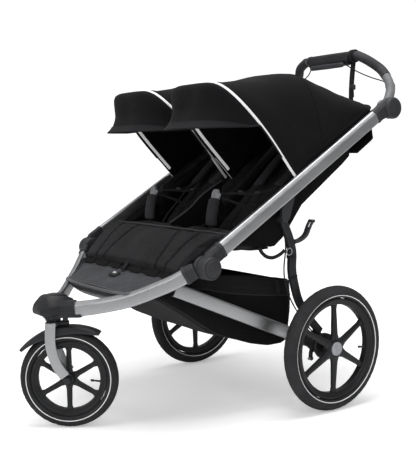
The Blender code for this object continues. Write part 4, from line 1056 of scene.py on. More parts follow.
def fold_hook():
    """An open hook with a slot near its tip."""
    path = smooth([(UPRIGHT_X + 0.0005, y, z) for y, z in (
        (-0.1165, 0.5290), (-0.0900, 0.5340), (-0.0680, 0.5480), (-0.0560, 0.5700))], 8)
    section = box_section(0.0105, 0.0042, 0.0024)
    parts = [sweep(path, [scaled(section, 1.0, 1.35 - 0.35 * min(1, i / 8))
                          for i in range(len(path))], up=(0, -0.5, 1))]
    for offset in (-0.0078, 0.0078):
        rail = smooth([(0.3185 + offset, -0.0575, 0.5670), (0.3185 + offset, -0.0510, 0.5790),
                       (0.3185 + offset, -0.0440, 0.5880)], 4)
        parts.append(sweep(rail, box_section(0.0027, 0.0040, 0.0013, 2), up=(0, -0.5, 1)))
    parts.append(fitted_sweep(oval(14, 0.0062, 0.0048, 2.6), [
        ((0.3185 + x, -0.0425, 0.5890), scale)
        for x, scale in ((-0.0105, 0.8), (-0.0098, 1), (0.0098, 1), (0.0105, 0.8))]))
    return merged(*parts)


def uprights():
    cable = pipe(smooth([
        (0.3155, -0.1500, 0.5600), (0.3120, -0.1420, 0.5100), (0.3115, -0.1480, 0.4500),
        (0.3120, -0.1420, 0.4000), (0.3130, -0.1180, 0.3450), (0.3140, -0.0750, 0.2850),
        (0.3130, -0.0330, 0.2420)], 8), 0.0022, 10)
    strap = sweep(smooth([
        (0.3255, -0.1580, 0.5070), (0.3250, -0.1760, 0.4955), (0.3240, -0.2020, 0.4880),
        (0.3235, -0.2260, 0.4925), (0.3230, -0.2440, 0.5060), (0.3215, -0.2520, 0.5200)], 6),
        box_section(0.0013, 0.0055, 0.0008, 2))
    for side in SIDES:
        put("upright_bar_*", upright_bar(), BLACK, "uprights", "rear_upright_*", 35, side)
        put("upright_cable_*", cable, CABLE, "uprights", side=side)
        put("upright_straps_*", upright_bands(), WEBBING, "uprights", crease=50, side=side)
        put("retaining_strap_*", strap, WEBBING, "uprights", crease=50, side=side)
        put("strap_ring_*", strap_ring(), BUCKLE, "uprights", side=side)
        put("fold_hook_*", fold_hook(), GREY, "fold_catch_*", "fold_catch_*", 38, side)


def brake_pedal():
    """Ribbed plate on a collar round the axle tube."""
    y0, z0 = 0.062, 0.1945
    outline = rounded([
        (0.0165, 0.1885), (0.030, 0.182), (0.075, 0.186), (0.0975, 0.196), (0.0955, 0.2042),
        (0.060, 0.2003), (0.030, 0.2040), (0.0165, 0.2020)], 0.003)
    plate = loft([[(x, y0 + (y - y0) * (0.9 + 0.1 * scale), z0 + (z - z0) * scale)
                   for y, z in outline]
                  for x, scale in ((0.1795, 0.80), (0.1810, 0.97), (0.1850, 1.0),
                                   (0.2400, 1.0), (0.2440, 0.97), (0.2455, 0.80))])
    ribs = [extruded([(y + aside, 0.2006 + (y - 0.06) * 0.11 + rise)
                      for aside, rise in ((-0.0016, -0.001), (0.0016, -0.001),
                                          (0.0010, 0.0014), (-0.0010, 0.0014))],
                     (0.1870, 0.2380)) for y in (0.066, 0.073, 0.080, 0.087)]
    collar = turned([(0.1945, 0.0147), (0.2305, 0.0147), (0.2310, 0.0185), (0.2300, 0.0196),
                     (0.1950, 0.0196), (0.1940, 0.0185)], 40, (0, AXLE_Z))
    put("brake_pedal_plate", merged(plate, collar, *ribs), GREY, "brake_pedal", "brake_pedal",
        35)


# ------------------------------------------------------------------- footrest

# Inner edge of the lower tubes: y, x
PLATE_EDGE = [(-0.6300, 0.1820), (-0.6100, 0.1890), (-0.5900, 0.2010), (-0.5600, 0.2290),
              (-0.5300, 0.2640), (-0.5070, 0.2860)]


def plate_z(y):
    return 0.4490 + (0.4055 - 0.4490) / (-0.6300 + 0.5070) * (y + 0.5070)


def footrest_plate():
    """Sloping plate with a groove across its rear part, and rows of small studs."""
    rows = []
    for y in (-0.5050, -0.5120, -0.5200, -0.5268, -0.5290, -0.5312, -0.5330, -0.5500, -0.5700,
              -0.5900, -0.6080, -0.6220, -0.6300):
        half = lookup(PLATE_EDGE, y)
        step = -0.0022 if -0.5318 < y < -0.5262 else (0.0008 if y < -0.5320 else 0.0)
        rows.append([(half * x, y, plate_z(y) + step - 0.0010 * x * x)
                     for x in np.linspace(-1, 1, 41)])
    put("footrest_plate", sheet(rows, 0.0060, (0, -0.57, 0.30)), PANEL, "front_frame",
        "footrest_tray", 35)
    pitch = 0.0085
    studs = []
    for j, y in enumerate(np.linspace(-0.5440, -0.6180, 10)):
        half = lookup(PLATE_EDGE, y) - 0.016
        count = int(half / pitch)
        for i in range(-count, count + 1):
            x = (i + 0.5 * (j % 2)) * pitch
            if abs(x) < 0.030 and y > -0.583:       # room for the clip
                continue
            z = plate_z(y) + 0.0006 - 0.0010 * (x / half) ** 2
            studs.append(loft([[(x + r * cos(angle), y + r * sin(angle), z + rise)
                                for angle in (pi * k / 3 for k in range(6))]
                               for r, rise in ((0.0021, 0.0), (0.0018, 0.0007),
                                               (0.0009, 0.0009))]))
    put("footrest_studs", merged(*studs), PANEL, "front_frame", crease=50)


def footrest_edges():
    """Bead along the front edge, and a rail along each side."""
    left = [(0.0900, -0.6365, 0.4014), (0.1700, -0.6310, 0.4022), (0.1900, -0.6235, 0.4045),
            (0.1950, -0.6120, 0.4065), (0.1960, -0.5980, 0.4120)]
    bead = [(-x, y, z) for x, y, z in reversed(left)] + [(0.0, -0.6378, 0.4012)] + left
    put("footrest_lip", pipe(smooth(bead, 6), 0.0046, 14), LIP, "front_frame")
    path = smooth([(0.1980, -0.6050, 0.4120), (0.2130, -0.5900, 0.4190),
                   (0.2420, -0.5600, 0.4310), (0.2780, -0.5300, 0.4430),
                   (0.3000, -0.5070, 0.4520)], 6)
    rail = sweep([point + Vector((-0.012, 0, -0.002)) for point in path],
                 box_section(0.0060, 0.0030, 0.0015, 2))
    put("footrest_side_rails", both(rail), BLACK, "front_frame", crease=50)


def footrest_bowl():
    """Front wall under the bead: bowed forward, tucked back underneath."""
    rows = []
    for k in range(15):
        share = k / 14
        drop = 0.036 * sin(share * pi / 2)
        tuck = 0.002 + 0.034 * (1 - cos(share * pi / 2)) ** 1.3
        half = 0.184 - 0.030 * share ** 2
        line = []
        for x in np.linspace(-1, 1, 49):
            bow = 1 - abs(x) ** 3.0
            line.append((half * x,
                         -0.6350 - 0.0055 * bow * sin(pi * min(1, share * 1.1)) + tuck
                         + 0.004 * (1 - bow),
                         0.4012 - drop * (0.30 + 0.70 * (1 - abs(x) ** 4))))
        rows.append(line)
    for k in range(1, 7):
        share = k / 6
        rows.append([(x * (1 - 0.02 * share), y + 0.060 * share,
                      z + 0.004 * share + 0.010 * share * share) for x, y, z in rows[14]])
    put("footrest_bowl", sheet(rows, 0.0030, (0, -0.58, 0.46)), BOWL, "front_frame", crease=50)


def footrest_clip():
    """Clip on the plate, its button, and a fabric tab behind it."""
    clip = stack(28, 0.0215, 0.0125, 5.0, ((-0.001, 1.0), (0.0055, 1.0), (0.0078, 0.95),
                                           (0.0088, 0.82)))
    button = stack(24, 0.0090, 0.0042, 6.0, ((0.0084, 1.0), (0.0094, 0.97), (0.0096, 0.85)),
                   (0.001, 0.002, 0))
    slope = Matrix.Rotation(math.atan2(0.038, 0.0815), 4, "X")
    place = Matrix.Translation((0.002, -0.5580, plate_z(-0.5580))) @ slope
    put("footrest_clip_body", moved(clip, place), BLACK, "front_frame", "footrest_clip", 40)
    put("footrest_clip_button", moved(button, place), LABEL, "front_frame", crease=40)
    tab = ribbon(smooth([(0.004, -0.5340, 0.4410), (0.002, -0.5270, 0.4500),
                         (0.0, -0.5160, 0.4610), (-0.002, -0.5040, 0.4730),
                         (-0.003, -0.4990, 0.4770), (-0.002, -0.5050, 0.4700)], 5),
                 0.013, 0.0026)
    put("footrest_tab", tab, WEBBING, "front_frame", crease=50)


def footrest_fabric():
    """Fabric from the plate up under the calf pad, and loops along the pad's edge."""
    rows = [level_row(lookup(PLATE_EDGE, max(y, -0.5070)) - 0.008, y, z, 41)
            for y, z in ((-0.5215, 0.4460), (-0.5165, 0.4490), (-0.5105, 0.4540),
                         (-0.5040, 0.4610), (-0.4960, 0.4690))]
    put("footrest_fabric_edge", sheet(rows, 0.0020, (0, -0.50, 0.42)), SIDE, "front_frame",
        crease=50)
    loops = []
    for middle, width in ((-0.235, 0.050), (-0.150, 0.060), (-0.060, 0.040), (0.060, 0.050),
                          (0.150, 0.055), (0.230, 0.040)):
        rows = [level_row(width / 2, y, z, 9, middle)
                for y, z in ((-0.5255, 0.4440), (-0.5190, 0.4495), (-0.5130, 0.4550),
                             (-0.5050, 0.4600))]
        loops.append(sheet(rows, 0.0022, (0, -0.53, 0.40)))
    put("footrest_fabric_loops", merged(*loops), SIDE, "front_frame", crease=50)


# ---------------------------------------------------------------- soft goods


def read_vectors(collection, key):
    values = np.empty(len(collection) * 3)
    collection.foreach_get(key, values)
    return values.reshape(-1, 3)


def puff(ob, cap, voxel):
    """Blows a closed pad up like a stuffed cushion, swelling by `cap` at most."""
    remesh = ob.modifiers.new("remesh", "REMESH")
    remesh.mode = "VOXEL"
    remesh.voxel_size = voxel
    bake(ob)
    mesh = ob.data
    start = read_vectors(mesh.vertices, "co")
    settings = ob.modifiers.new("cloth", "CLOTH").settings
    settings.use_pressure = True
    settings.uniform_pressure_force = 4.0
    settings.effector_weights.gravity = 0.0
    settings.quality = 4
    settings.tension_stiffness = 15
    settings.compression_stiffness = 15
    settings.bending_stiffness = 0.8
    scene = bpy.context.scene
    for number in range(1, 21):
        scene.frame_set(number)
    graph = bpy.context.evaluated_depsgraph_get()
    end = read_vectors(ob.evaluated_get(graph).data.vertices, "co")
    ob.modifiers.clear()
    scene.frame_set(1)
    move = end - start
    length = np.linalg.norm(move, axis=1, keepdims=True)
    end = start + move * np.minimum(1.0, cap / np.maximum(length, 1e-9))
    mesh.vertices.foreach_set("co", end.reshape(-1))
    mesh.update()


def subdivide(ob):
    subsurf = ob.modifiers.new("subsurf", "SUBSURF")
    subsurf.levels = subsurf.render_levels = 1
    bake(ob)


def press(ob, field):
    """Moves each vertex along its normal by -field(x, y, z, normals)."""
    mesh = ob.data
    points = read_vectors(mesh.vertices, "co")
    normals = read_vectors(mesh.vertices, "normal")
    depth = field(points[:, 0], points[:, 1] - AXLE_Y, points[:, 2], normals)
    mesh.vertices.foreach_set("co", (points - normals * depth[:, None]).reshape(-1))
    mesh.update()


def cushion(name, part, cap, voxel, field):
    ob = make(name, part, SEAT)
    puff(ob, cap, voxel)
    subdivide(ob)
    press(ob, field)
    return ob


def mirrored_twin(ob, name):
    twin = ob.copy()
    twin.data = ob.data.copy()
    twin.name = name
    bpy.context.scene.collection.objects.link(twin)
    twin.data.transform(Matrix.Scale(-1, 4, (1, 0, 0)))
    twin.data.flip_normals()
    return twin


def finish_cushion(ob, body, cad=None):
    ob.data.materials.clear()
    ob.data.materials.append(SEAT)
    ob.data.shade_smooth()
    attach(ob, body)
    if cad:
        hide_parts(cad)


def slab(stations, count):
    """A closed pad from stations (y, top z, half width, thickness)."""
    return loft([level_row(half, y, z, count) + level_row(half, y, z - thick, count)[::-1]
                 for y, z, half, thick in stations])


# Calf pad, front to rear: y, top z, half width, thickness
CALF = [
    (-0.5140, 0.4540, 0.270, 0.008), (-0.505, 0.4665, 0.280, 0.014),
    (-0.488, 0.4840, 0.290, 0.016), (-0.465, 0.5060, 0.300, 0.016),
    (-0.440, 0.5270, 0.309, 0.016), (-0.415, 0.5460, 0.316, 0.016),
    (-0.393, 0.5580, 0.319, 0.016), (-0.375, 0.5615, 0.319, 0.016),
    (-0.360, 0.5600, 0.317, 0.014)]
SEAMS = ((-0.205, -0.232), (-0.160, -0.126), (0.156, 0.114), (0.204, 0.226))  # x front, rear


def seam_x(seam, y):
    return between(seam, np.clip((y + 0.512) / 0.130, 0, 1))


def calf_field(x, y, z, normals):
    """Pressed seams, a raised middle and slow waves on the upper face."""
    top = np.clip(normals[:, 2] * 1.6 - normals[:, 1] * 1.1, 0, 1)
    depth = np.zeros_like(x)
    for seam in SEAMS:
        away = x - seam_x(seam, y)
        depth += 0.0090 * np.exp(-(away / 0.0040) ** 2)
        depth += (0.0009 * np.exp(-((np.abs(away) - 0.010) / 0.006) ** 2)
                  * np.sin(y * 310 + seam[0] * 40))
    depth -= 0.0030 * np.cos(np.clip((x / 0.130), -1, 1) * pi / 2) ** 2 * (np.abs(x) < 0.130)
    depth += 0.0012 * np.sin(x * 47 + y * 31) * np.sin(y * 53 - x * 17)
    return depth * top


def calf_pad():
    """Quilted slope over the front edge of the seats, its edge roll and stitches."""
    pad = cushion("calf_pad_quilt", slab(CALF, 41), 0.010, 0.0055, calf_field)
    finish_cushion(pad, "front_frame", "calf_pad")
    # the roll's pale grey is a painted highlight along the pad's back edge
    roll = [(x, -0.3760 + 0.012 * (abs(x) / 0.312) ** 6,
             0.5695 - 0.0030 * (abs(x) / 0.312) ** 6 + 0.0006 * sin(x * 60))
            for x in np.linspace(-0.312, 0.312, 49)]
    put("calf_pad_edge_roll", pipe(roll, 0.0026, 12), TRIM_HIGHLIGHT, "front_frame")
    lift = 0.0062
    stitches = []
    for seam in SEAMS:
        for offset in (-0.0062, 0.0062):
            for k in range(26):
                y = -0.512 + 0.122 * (k / 25)
                end_y = y + 0.0028
                z, end_z = lookup(CALF, y), lookup(CALF, end_y)
                x = float(seam_x(seam, y)) + offset
                stitches.append(pipe([
                    (x, y - lift * 0.6, z + lift),
                    (x, (y + end_y) / 2 - lift * 0.6, (z + end_z) / 2 + lift + 0.0004),
                    (x, end_y - lift * 0.6, end_z + lift)], 0.00045, 5))
    put("calf_pad_stitching", merged(*stitches), PAD, "front_frame")


# Seat cushion, front to rear: y, top z, half width, thickness
SEAT_ROWS = [
    (-0.3560, 0.5560, 0.118, 0.016), (-0.340, 0.5610, 0.130, 0.028),
    (-0.310, 0.5600, 0.136, 0.036), (-0.280, 0.5540, 0.136, 0.036),
    (-0.255, 0.5450, 0.132, 0.030), (-0.2400, 0.5370, 0.122, 0.018)]


def seat_field(x, y, z, normals):
    """Two pressed seams from front to rear, and slow waves."""
    return (0.0045 * (np.exp(-((x - 0.105) / 0.0045) ** 2)
                      + np.exp(-((x - 0.219) / 0.0045) ** 2))
            + 0.0012 * np.sin(x * 60) * np.sin(y * 55)) * np.clip(normals[:, 2], 0, 1)


def seats():
    """One crowned cushion per child, and the sling that carries both."""
    left = cushion("seat_cushion_left", shifted(slab(SEAT_ROWS, 21), 0.162, 0, 0),
                   0.012, 0.0055, seat_field)
    right = mirrored_twin(left, "seat_cushion_right")
    finish_cushion(left, "front_frame", "seat_base")
    finish_cushion(right, "front_frame")
    # stations: y, z, rise at the sides
    rows = [[(0.3080 * x, y, z + rise * max(0.0, abs(x) - 0.86) / 0.14)
             for x in np.linspace(-1, 1, 49)]
            for y, z, rise in ((-0.3580, 0.5500, 0.0), (-0.340, 0.5380, 0.012),
                               (-0.300, 0.5200, 0.034), (-0.260, 0.5110, 0.034),
                               (-0.236, 0.5080, 0.024), (-0.2060, 0.5085, 0.008))]
    put("seat_sling", sheet(rows, 0.0030, (0, -0.30, 0.45)), LINING, "front_frame")


# Seat back's face and rear, bottom to top: y, z
BACK_FACE = [
    (-0.1900, 0.5560), (-0.1640, 0.5880), (-0.1300, 0.6220), (-0.0800, 0.6720),
    (-0.0200, 0.7300), (0.0400, 0.7830), (0.0900, 0.8270), (0.1280, 0.8600)]
BACK_REAR = [
    (-0.1940, 0.5250), (-0.1450, 0.5590), (-0.0730, 0.6500), (0.0100, 0.7050),
    (0.0560, 0.7340), (0.0960, 0.7590), (0.1500, 0.7920), (0.1700, 0.8330)]
BACK_X = 0.160


def along(line, share):
    """A point at x = 0 part-way along a (y, z) line, counted by its spans."""
    at = share * (len(line) - 1)
    i = min(int(at), len(line) - 2)
    return Vector((0, *line[i])).lerp(Vector((0, *line[i + 1])), at - i)


def back_field(x, y, z, normals):
    """Two pressed seams from bottom to top, three across, and slow waves."""
    face = np.clip(-normals[:, 1] * 1.2 + normals[:, 2] * 0.8, 0, 1)
    depth = 0.0060 * (np.exp(-((x - 0.100) / 0.0045) ** 2)
                      + np.exp(-((x - 0.220) / 0.0045) ** 2))
    for seam_z in (0.640, 0.735, 0.815):
        depth = depth + (0.0040 * np.exp(-((z - seam_z) / 0.0045) ** 2)
                         * (np.abs(x - BACK_X) < 0.060))
    depth = depth + 0.0010 * np.sin(x * 71) * np.sin(z * 49)
    return depth * face


def seat_back_pads():
    rings = []
    for k in range(25):
        share = k / 24
        face, rear = along(BACK_FACE, share), along(BACK_REAR, share)
        face = face.lerp(rear, 0.07)
        half = 0.130 * (1 - 0.05 * (2 * share - 1) ** 4)
        inside = face.lerp(rear, 0.42)
        rings.append(level_row(half, face.y, face.z, 25)
                     + level_row(half, inside.y, inside.z, 25)[::-1])
    left = cushion("seat_back_pad_left", shifted(loft(rings), BACK_X, 0, 0),
                   0.010, 0.0060, back_field)
    right = mirrored_twin(left, "seat_back_pad_right")
    finish_cushion(left, "seat_back_left", "seat_back_left")
    finish_cushion(right, "seat_back_right", "seat_back_right")


def seat_back_shell():
    """Fabric behind and beside the pad: a scoop from side to side."""
    rows = []
    for k in range(29):
        share = k / 28
        face, rear = along(BACK_FACE, share), along(BACK_REAR, share)
        line = []
        for across in np.linspace(0, 1, 45):
            x = 0.1620 - 0.1430 * signed_power(cos(pi * across), 0.42)
            deep = sin(pi * across) ** 0.42
            point = face.lerp(rear, 0.04 + 0.94 * deep)
            crease = 0.0016 * sin(share * 21 + across * 5) * sin(pi * share) * deep
            line.append((x, point.y + crease, point.z - crease * 0.7))
        rows.append(line)
    return sheet(rows, 0.0025, (0.16, -0.10, 0.80))


def seat_back_pocket():
    rows = []
    for k in range(17):
        rear = along(BACK_REAR, 0.30 + 0.50 * k / 16)
        bulge = 0.0040 + 0.0060 * sin(pi * k / 16)
        rows.append([(BACK_X + 0.105 * x, rear.y + bulge * 0.55 * (1 - 0.7 * x ** 6),
                      rear.z - bulge * 0.85 * (1 - 0.7 * x ** 6))
                     for x in np.linspace(-1, 1, 25)])
    return sheet(rows, 0.0020, (0.16, -0.10, 0.85))


def seat_back_fabric():
    """Shell, a skirt that closes the crease below, piping and the rear pocket."""
    rows = [level_row(0.1210, y, z, 25, 0.1420)
            for y, z in ((-0.2010, 0.5110), (-0.1800, 0.5180), (-0.1500, 0.5400),
                         (-0.1200, 0.5750))]
    skirt = sheet(rows, 0.0030, (0, -0.30, 0.45))
    edge = smooth([(0.3000, y - 0.001, z + 0.001) for y, z in BACK_FACE], 4)
    for side in SIDES:
        for name, part, material in (("shell", seat_back_shell(), SIDE),
                                     ("skirt", skirt, LINING),
                                     # the piping's pale grey is a painted highlight
                                     ("piping", pipe(edge, 0.0024, 10), TRIM_HIGHLIGHT),
                                     ("pocket", seat_back_pocket(), BASKET)):
            put(f"seat_back_{name}_*", part, material, "seat_back_*", side=side)


def middle_web():
    """Fabric between the two seat backs."""
    front = smooth([(0, -0.2050, 0.5300), (0, -0.1700, 0.6050), (0, -0.1100, 0.6650),
                    (0, -0.0300, 0.7350), (0, 0.0500, 0.8050), (0, 0.1300, 0.8700)], 5)
    rear = smooth([(0, -0.1950, 0.5120), (0, -0.1400, 0.5600), (0, -0.0700, 0.6450),
                   (0, 0.0100, 0.7000), (0, 0.0900, 0.7560), (0, 0.1700, 0.8350)], 5)
    rings = []
    for start, end in zip(front, rear):
        middle = start.lerp(end, 0.5)
        reach = (end - start) / 2
        rings.append([(0.0165 * x, middle.y + reach.y * deep, middle.z + reach.z * deep)
                      for x, deep in oval(24, 1.0, 1.0, 2.6)])
    put("seat_middle_web", loft(rings), SIDE, "upper_frame")


# Lower edge of the side panels: y, z
PANEL_LOW = [
    (-0.370, 0.5400), (-0.300, 0.5300), (-0.225, 0.5200), (-0.185, 0.5180), (-0.145, 0.5470),
    (-0.073, 0.6400), (0.010, 0.6990), (0.056, 0.7320), (0.096, 0.7600), (0.130, 0.7880)]


def side_panels():
    """Fabric from the upper tube down to the seat, with a hem along its top."""
    rows = []
    for k in range(33):
        share = k / 32
        y = -0.370 + 0.500 * share
        top = tube_z(y) - 0.016
        low = min(lookup(PANEL_LOW, y), top - 0.004)
        line = []
        for fall in np.linspace(0, 1, 31) ** 1.4:
            inward = min(1.0, fall * (top - low) / 0.016)
            x = (0.3360 - 0.0288 * inward * inward * (3 - 2 * inward)
                 + 0.0007 * sin(share * 26 + fall * 4) * sin(pi * fall))
            line.append((x, y, top + (low - top) * fall))
        rows.append(line)
    panel = sheet(rows, 0.0016, (0, -0.10, 0.65))
    hem = smooth([(0.3345, y, tube_z(y) - 0.0205) for y in np.linspace(-0.360, 0.150, 12)], 3)
    for side in SIDES:
        put("side_panel_*", panel, SIDE, "upper_frame", side=side)
        put("side_panel_hem_*", pipe(hem, 0.0030, 10), SIDE, "upper_frame", side=side)


def divider():
    """Thin padded wing between the seats, with piping along its top edge."""
    top = smooth([(0, -0.3560, 0.5800), (0, -0.3250, 0.5960), (0, -0.2770, 0.6250),
                  (0, -0.2400, 0.6560), (0, -0.2000, 0.6820), (0, -0.1480, 0.7100)], 6)
    low = smooth([(0, -0.3480, 0.5700), (0, -0.3150, 0.5700), (0, -0.2620, 0.5580),
                  (0, -0.2250, 0.5700), (0, -0.2000, 0.5880), (0, -0.1540, 0.6500)], 6)
    rows = [[tuple(start.lerp(end, share)) for share in np.linspace(0, 1, 9)]
            for start, end in zip(top, low)]
    faces = []
    for sign in (1, -1):
        grid = np.array(rows, float)
        swell = (np.sin(np.linspace(0, pi, grid.shape[1]))[None, :]
                 * np.sin(np.linspace(0.15, pi - 0.15, grid.shape[0]))[:, None])
        grid[:, :, 0] += sign * (0.0008 + 0.0022 * swell)
        faces.append(grid)
    put("divider_wing", shell(*faces, back_order=(3, 2, 1, 0)), SIDE, "front_frame",
        "center_divider")
    # the piping's pale grey is a painted highlight along the wing's top edge
    put("divider_piping", pipe(top, 0.0026, 12), TRIM_HIGHLIGHT, "front_frame")


# ------------------------------------------------------------------- harness

STRAP_UP = (0, -0.70, 0.714)


def pad_strip(path, width, thick, up, crown=0.35):
    """A soft strip: rounded section, pinched ends, slightly crowned."""
    sections = []
    for i in range(len(path)):
        share = i / (len(path) - 1)
        inside = min(1.0, min(share, 1 - share) / 0.10)
        full = math.sqrt(max(0.0, inside * (2 - inside)))
        sections.append([(x * (0.80 + 0.20 * full),
                          y * (0.45 + 0.55 * full)
                          + thick * crown * 0.25 * (1 - (x / (width / 2)) ** 2))
                         for x, y in oval(24, width / 2, thick / 2, 2.7)])
    return sweep(path, sections, up)


def shoulder_straps():
    """Pads, webbing and sliders of one child's harness."""
    pads, webs, sliders = [], [], []
    slider = loft([[(x, y, z) for x, z in oval(20, 0.0135 * scale, 0.0046 * scale, 4.0)]
                   for y, scale in ((-0.013, 0.85), (-0.011, 1.0), (0.011, 1.0),
                                    (0.013, 0.85))])
    for x, out in ((0.118, -1), (0.236, 1)):        # out: away from the harness middle
        path = smooth([(x, 0.098, 0.8620), (x + 0.002 * out, 0.040, 0.8120),
                       (x + 0.001 * out, -0.020, 0.7640), (x - 0.004 * out, -0.070, 0.7200),
                       (x - 0.010 * out, -0.100, 0.6960)], 6)
        pads.append(pad_strip(path, 0.042, 0.014, STRAP_UP))
        # from the pad's lower end to the buckle
        path = smooth([(x - 0.010 * out, -0.096, 0.6980), (x - 0.012 * out, -0.140, 0.6780),
                       (x - 0.022 * out, -0.190, 0.6720), (x - 0.040 * out, -0.250, 0.6760),
                       (CHILD_X + 0.012 * out, -0.298, 0.6760)], 6)
        webs.append(ribbon(path, 0.021, 0.0022, STRAP_UP))
        # over the top of the seat back
        path = smooth([(x, 0.098, 0.8640), (x - 0.004 * out, 0.114, 0.8760),
                       (x - 0.006 * out, 0.126, 0.8700)], 5)
        webs.append(ribbon(path, 0.022, 0.0022, STRAP_UP))
        # waist strap
        path = smooth([(CHILD_X + 0.112 * out, -0.196, 0.5860),
                       (CHILD_X + 0.098 * out, -0.206, 0.6080),
                       (CHILD_X + 0.066 * out, -0.238, 0.6360),
                       (CHILD_X + 0.014 * out, -0.296, 0.6660)], 6)
        webs.append(ribbon(path, 0.021, 0.0022, (0, -0.3, 1)))
        place = Matrix.Translation((x - 0.017 * out, -0.165, 0.6755))
        sliders.append(moved(slider, place @ Matrix.Rotation(radians(-8), 4, "X")))
    return merged(*pads), merged(*webs), merged(*sliders)


def buckle():
    # stations: z, half width, half depth
    body = loft([[(CHILD_X + 1.18 * x, -0.3050 + (z - 0.65) * 0.12 + y,
                   z + 0.0085 + (z - 0.65) * 0.10) for x, y in oval(28, half_x, half_y, 3.2)]
                 for z, half_x, half_y in (
                     (0.6500, 0.0125, 0.0062), (0.6515, 0.0140, 0.0076),
                     (0.6620, 0.0142, 0.0080), (0.6700, 0.0120, 0.0076),
                     (0.6760, 0.0085, 0.0064), (0.6785, 0.0060, 0.0046))])
    tongue = stack(20, 0.0200, 0.0038, 4.0, ((0.6580, 0.9), (0.6595, 1.0), (0.6665, 1.0),
                                             (0.6680, 0.9)), (CHILD_X, -0.3020, 0.0095))
    return merged(body, tongue)


def harness():
    pads, webs, sliders = shoulder_straps()
    crotch_pad = pad_strip(smooth([(CHILD_X, -0.3190, 0.5800), (CHILD_X, -0.3200, 0.6030),
                                   (CHILD_X, -0.3150, 0.6320), (CHILD_X, -0.3070, 0.6620)], 8),
                           0.043, 0.021, (0, -1, 0), crown=0.8)
    crotch_web = ribbon(smooth([(CHILD_X, -0.3195, 0.5590), (CHILD_X, -0.3210, 0.5720),
                                (CHILD_X, -0.3220, 0.5860)], 4), 0.020, 0.0026, (0, -1, 0))
    for side in SIDES:
        put("shoulder_pads_*", pads, PAD, "seat_back_*", "harness_*", side=side)
        put("harness_webbing_*", webs, WEBBING, "seat_back_*", crease=50, side=side)
        put("harness_sliders_*", sliders, BLACK, "seat_back_*", crease=40, side=side)
        put("crotch_pad_*", crotch_pad, PAD, "front_frame", "crotch_strap_*", side=side)
        put("crotch_webbing_*", crotch_web, WEBBING, "front_frame", crease=50, side=side)
        put("buckle_tip_*", buckle(), BUCKLE, "front_frame", crease=38, side=side)


# -------------------------------------------------------------------- canopies

CANOPY_CENTRE = (CHILD_X, 0.0, 0.80)
VISOR_CENTRE = (CHILD_X, -0.10, 0.80)


def foot(y):
    return (y, tube_z(y) + 0.030)


# Arches of the roof, front to rear: foot (y, z), crown (y, z)
ROOF = [
    ((-0.1130, 0.7345), (-0.3610, 0.9965)), (foot(-0.070), (-0.230, 1.0220)),
    (foot(-0.015), (-0.088, 1.0430)), (foot(0.050), (0.018, 1.0190)),
    (foot(0.105), (0.105, 0.9950)), (foot(0.150), (0.180, 0.9720)),
    (foot(0.178), (0.225, 0.9550))]
RIB = 0.36                      # share of the roof's length at which the rib lies


def arch(bottom, top, half, power, bulge):
    """65 evenly spaced points on a squared arch whose sides swell outward."""
    dense = []
    for i in range(721):
        angle = pi * i / 720
        across = signed_power(cos(angle), 2 / power)
        rise = abs(sin(angle)) ** (2 / power)
        wide = half + bulge * sin(pi * min(1.0, rise)) ** 1.6
        dense.append((CHILD_X + wide * across, bottom[0] + (top[0] - bottom[0]) * rise,
                      bottom[1] + (top[1] - bottom[1]) * rise))
    dense = np.array(dense)
    steps = np.linalg.norm(np.diff(dense, axis=0), axis=1)
    run = np.concatenate([[0], np.cumsum(steps)])
    return [tuple(float(np.interp(at, run, dense[:, k])) for k in range(3))
            for at in np.linspace(0, run[-1], 65)]


def roof_grid():
    """The roof's grid, sagging between its arches, and its outward normals."""
    bottoms = smooth([(0, *bottom) for bottom, top in ROOF], 8)
    tops = smooth([(0, *top) for bottom, top in ROOF], 8)
    rows = []
    for k, (bottom, top) in enumerate(zip(bottoms, tops)):
        share = k / (len(bottoms) - 1)
        rows.append(arch((bottom.y, bottom.z), (top.y, top.z), 0.1550 + 0.0020 * share,
                         4.7 - 1.7 * share, 0.0100 * (1 - share) ** 0.8))
    grid = np.array(rows)
    normals = normals_away(grid, 20, 32, CANOPY_CENTRE)
    back = np.linspace(0, 1, grid.shape[0])[:, None]        # share of the way to the rear
    over = np.linspace(0, 1, grid.shape[1])[None, :]        # share of the way over
    sag = np.where(back < RIB, np.sin(np.pi * back / RIB) ** 2,
                   np.sin(np.pi * (back - RIB) / (1 - RIB)) ** 2)
    body = np.sin(np.pi * over) ** 0.6
    wrinkle = (0.0011 * np.sin(over * 44 + back * 9) * np.exp(-((over - 0.06) / 0.06) ** 2)
               + 0.0011 * np.sin(over * 44 - back * 9) * np.exp(-((over - 0.94) / 0.06) ** 2)
               + 0.0009 * np.sin(back * 37 + over * 11) * np.sin(over * 23 + 1.3) * body)
    return grid - normals * (0.0050 * sag * body + wrinkle)[..., None], normals


def canopy_skirt(edge, outer):
    """Strip that hangs from one lower edge of the roof."""
    rows = []
    for x, y, z in edge:
        top_x = x - 0.004 if outer else x + 0.004
        low_x = min(0.3365, x + 0.004) if outer else x - 0.002
        rows.append([(top_x + (low_x - top_x) * fall, y, z + 0.008 - (0.026 * fall))
                     for fall in np.linspace(0, 1, 7)])
    return sheet(rows, 0.0014, CANOPY_CENTRE)


def canopy_rear_panel(edge):
    """Hangs from the roof's rear edge to the top of the seat back."""
    rows = []
    for k in range(17):
        share = k / 16
        fall = min(1.0, share / 0.7)
        tuck = max(0.0, (share - 0.7) / 0.3)
        rows.append([(x + (CHILD_X - x) * (0.05 * share + 0.04 * tuck),
                      y + (0.2160 - y) * fall - 0.062 * tuck,
                      z + (0.8420 - z) * fall - 0.046 * tuck) for x, y, z in edge])
    return sheet(rows, 0.0016, (CHILD_X, 0.0, 0.90))


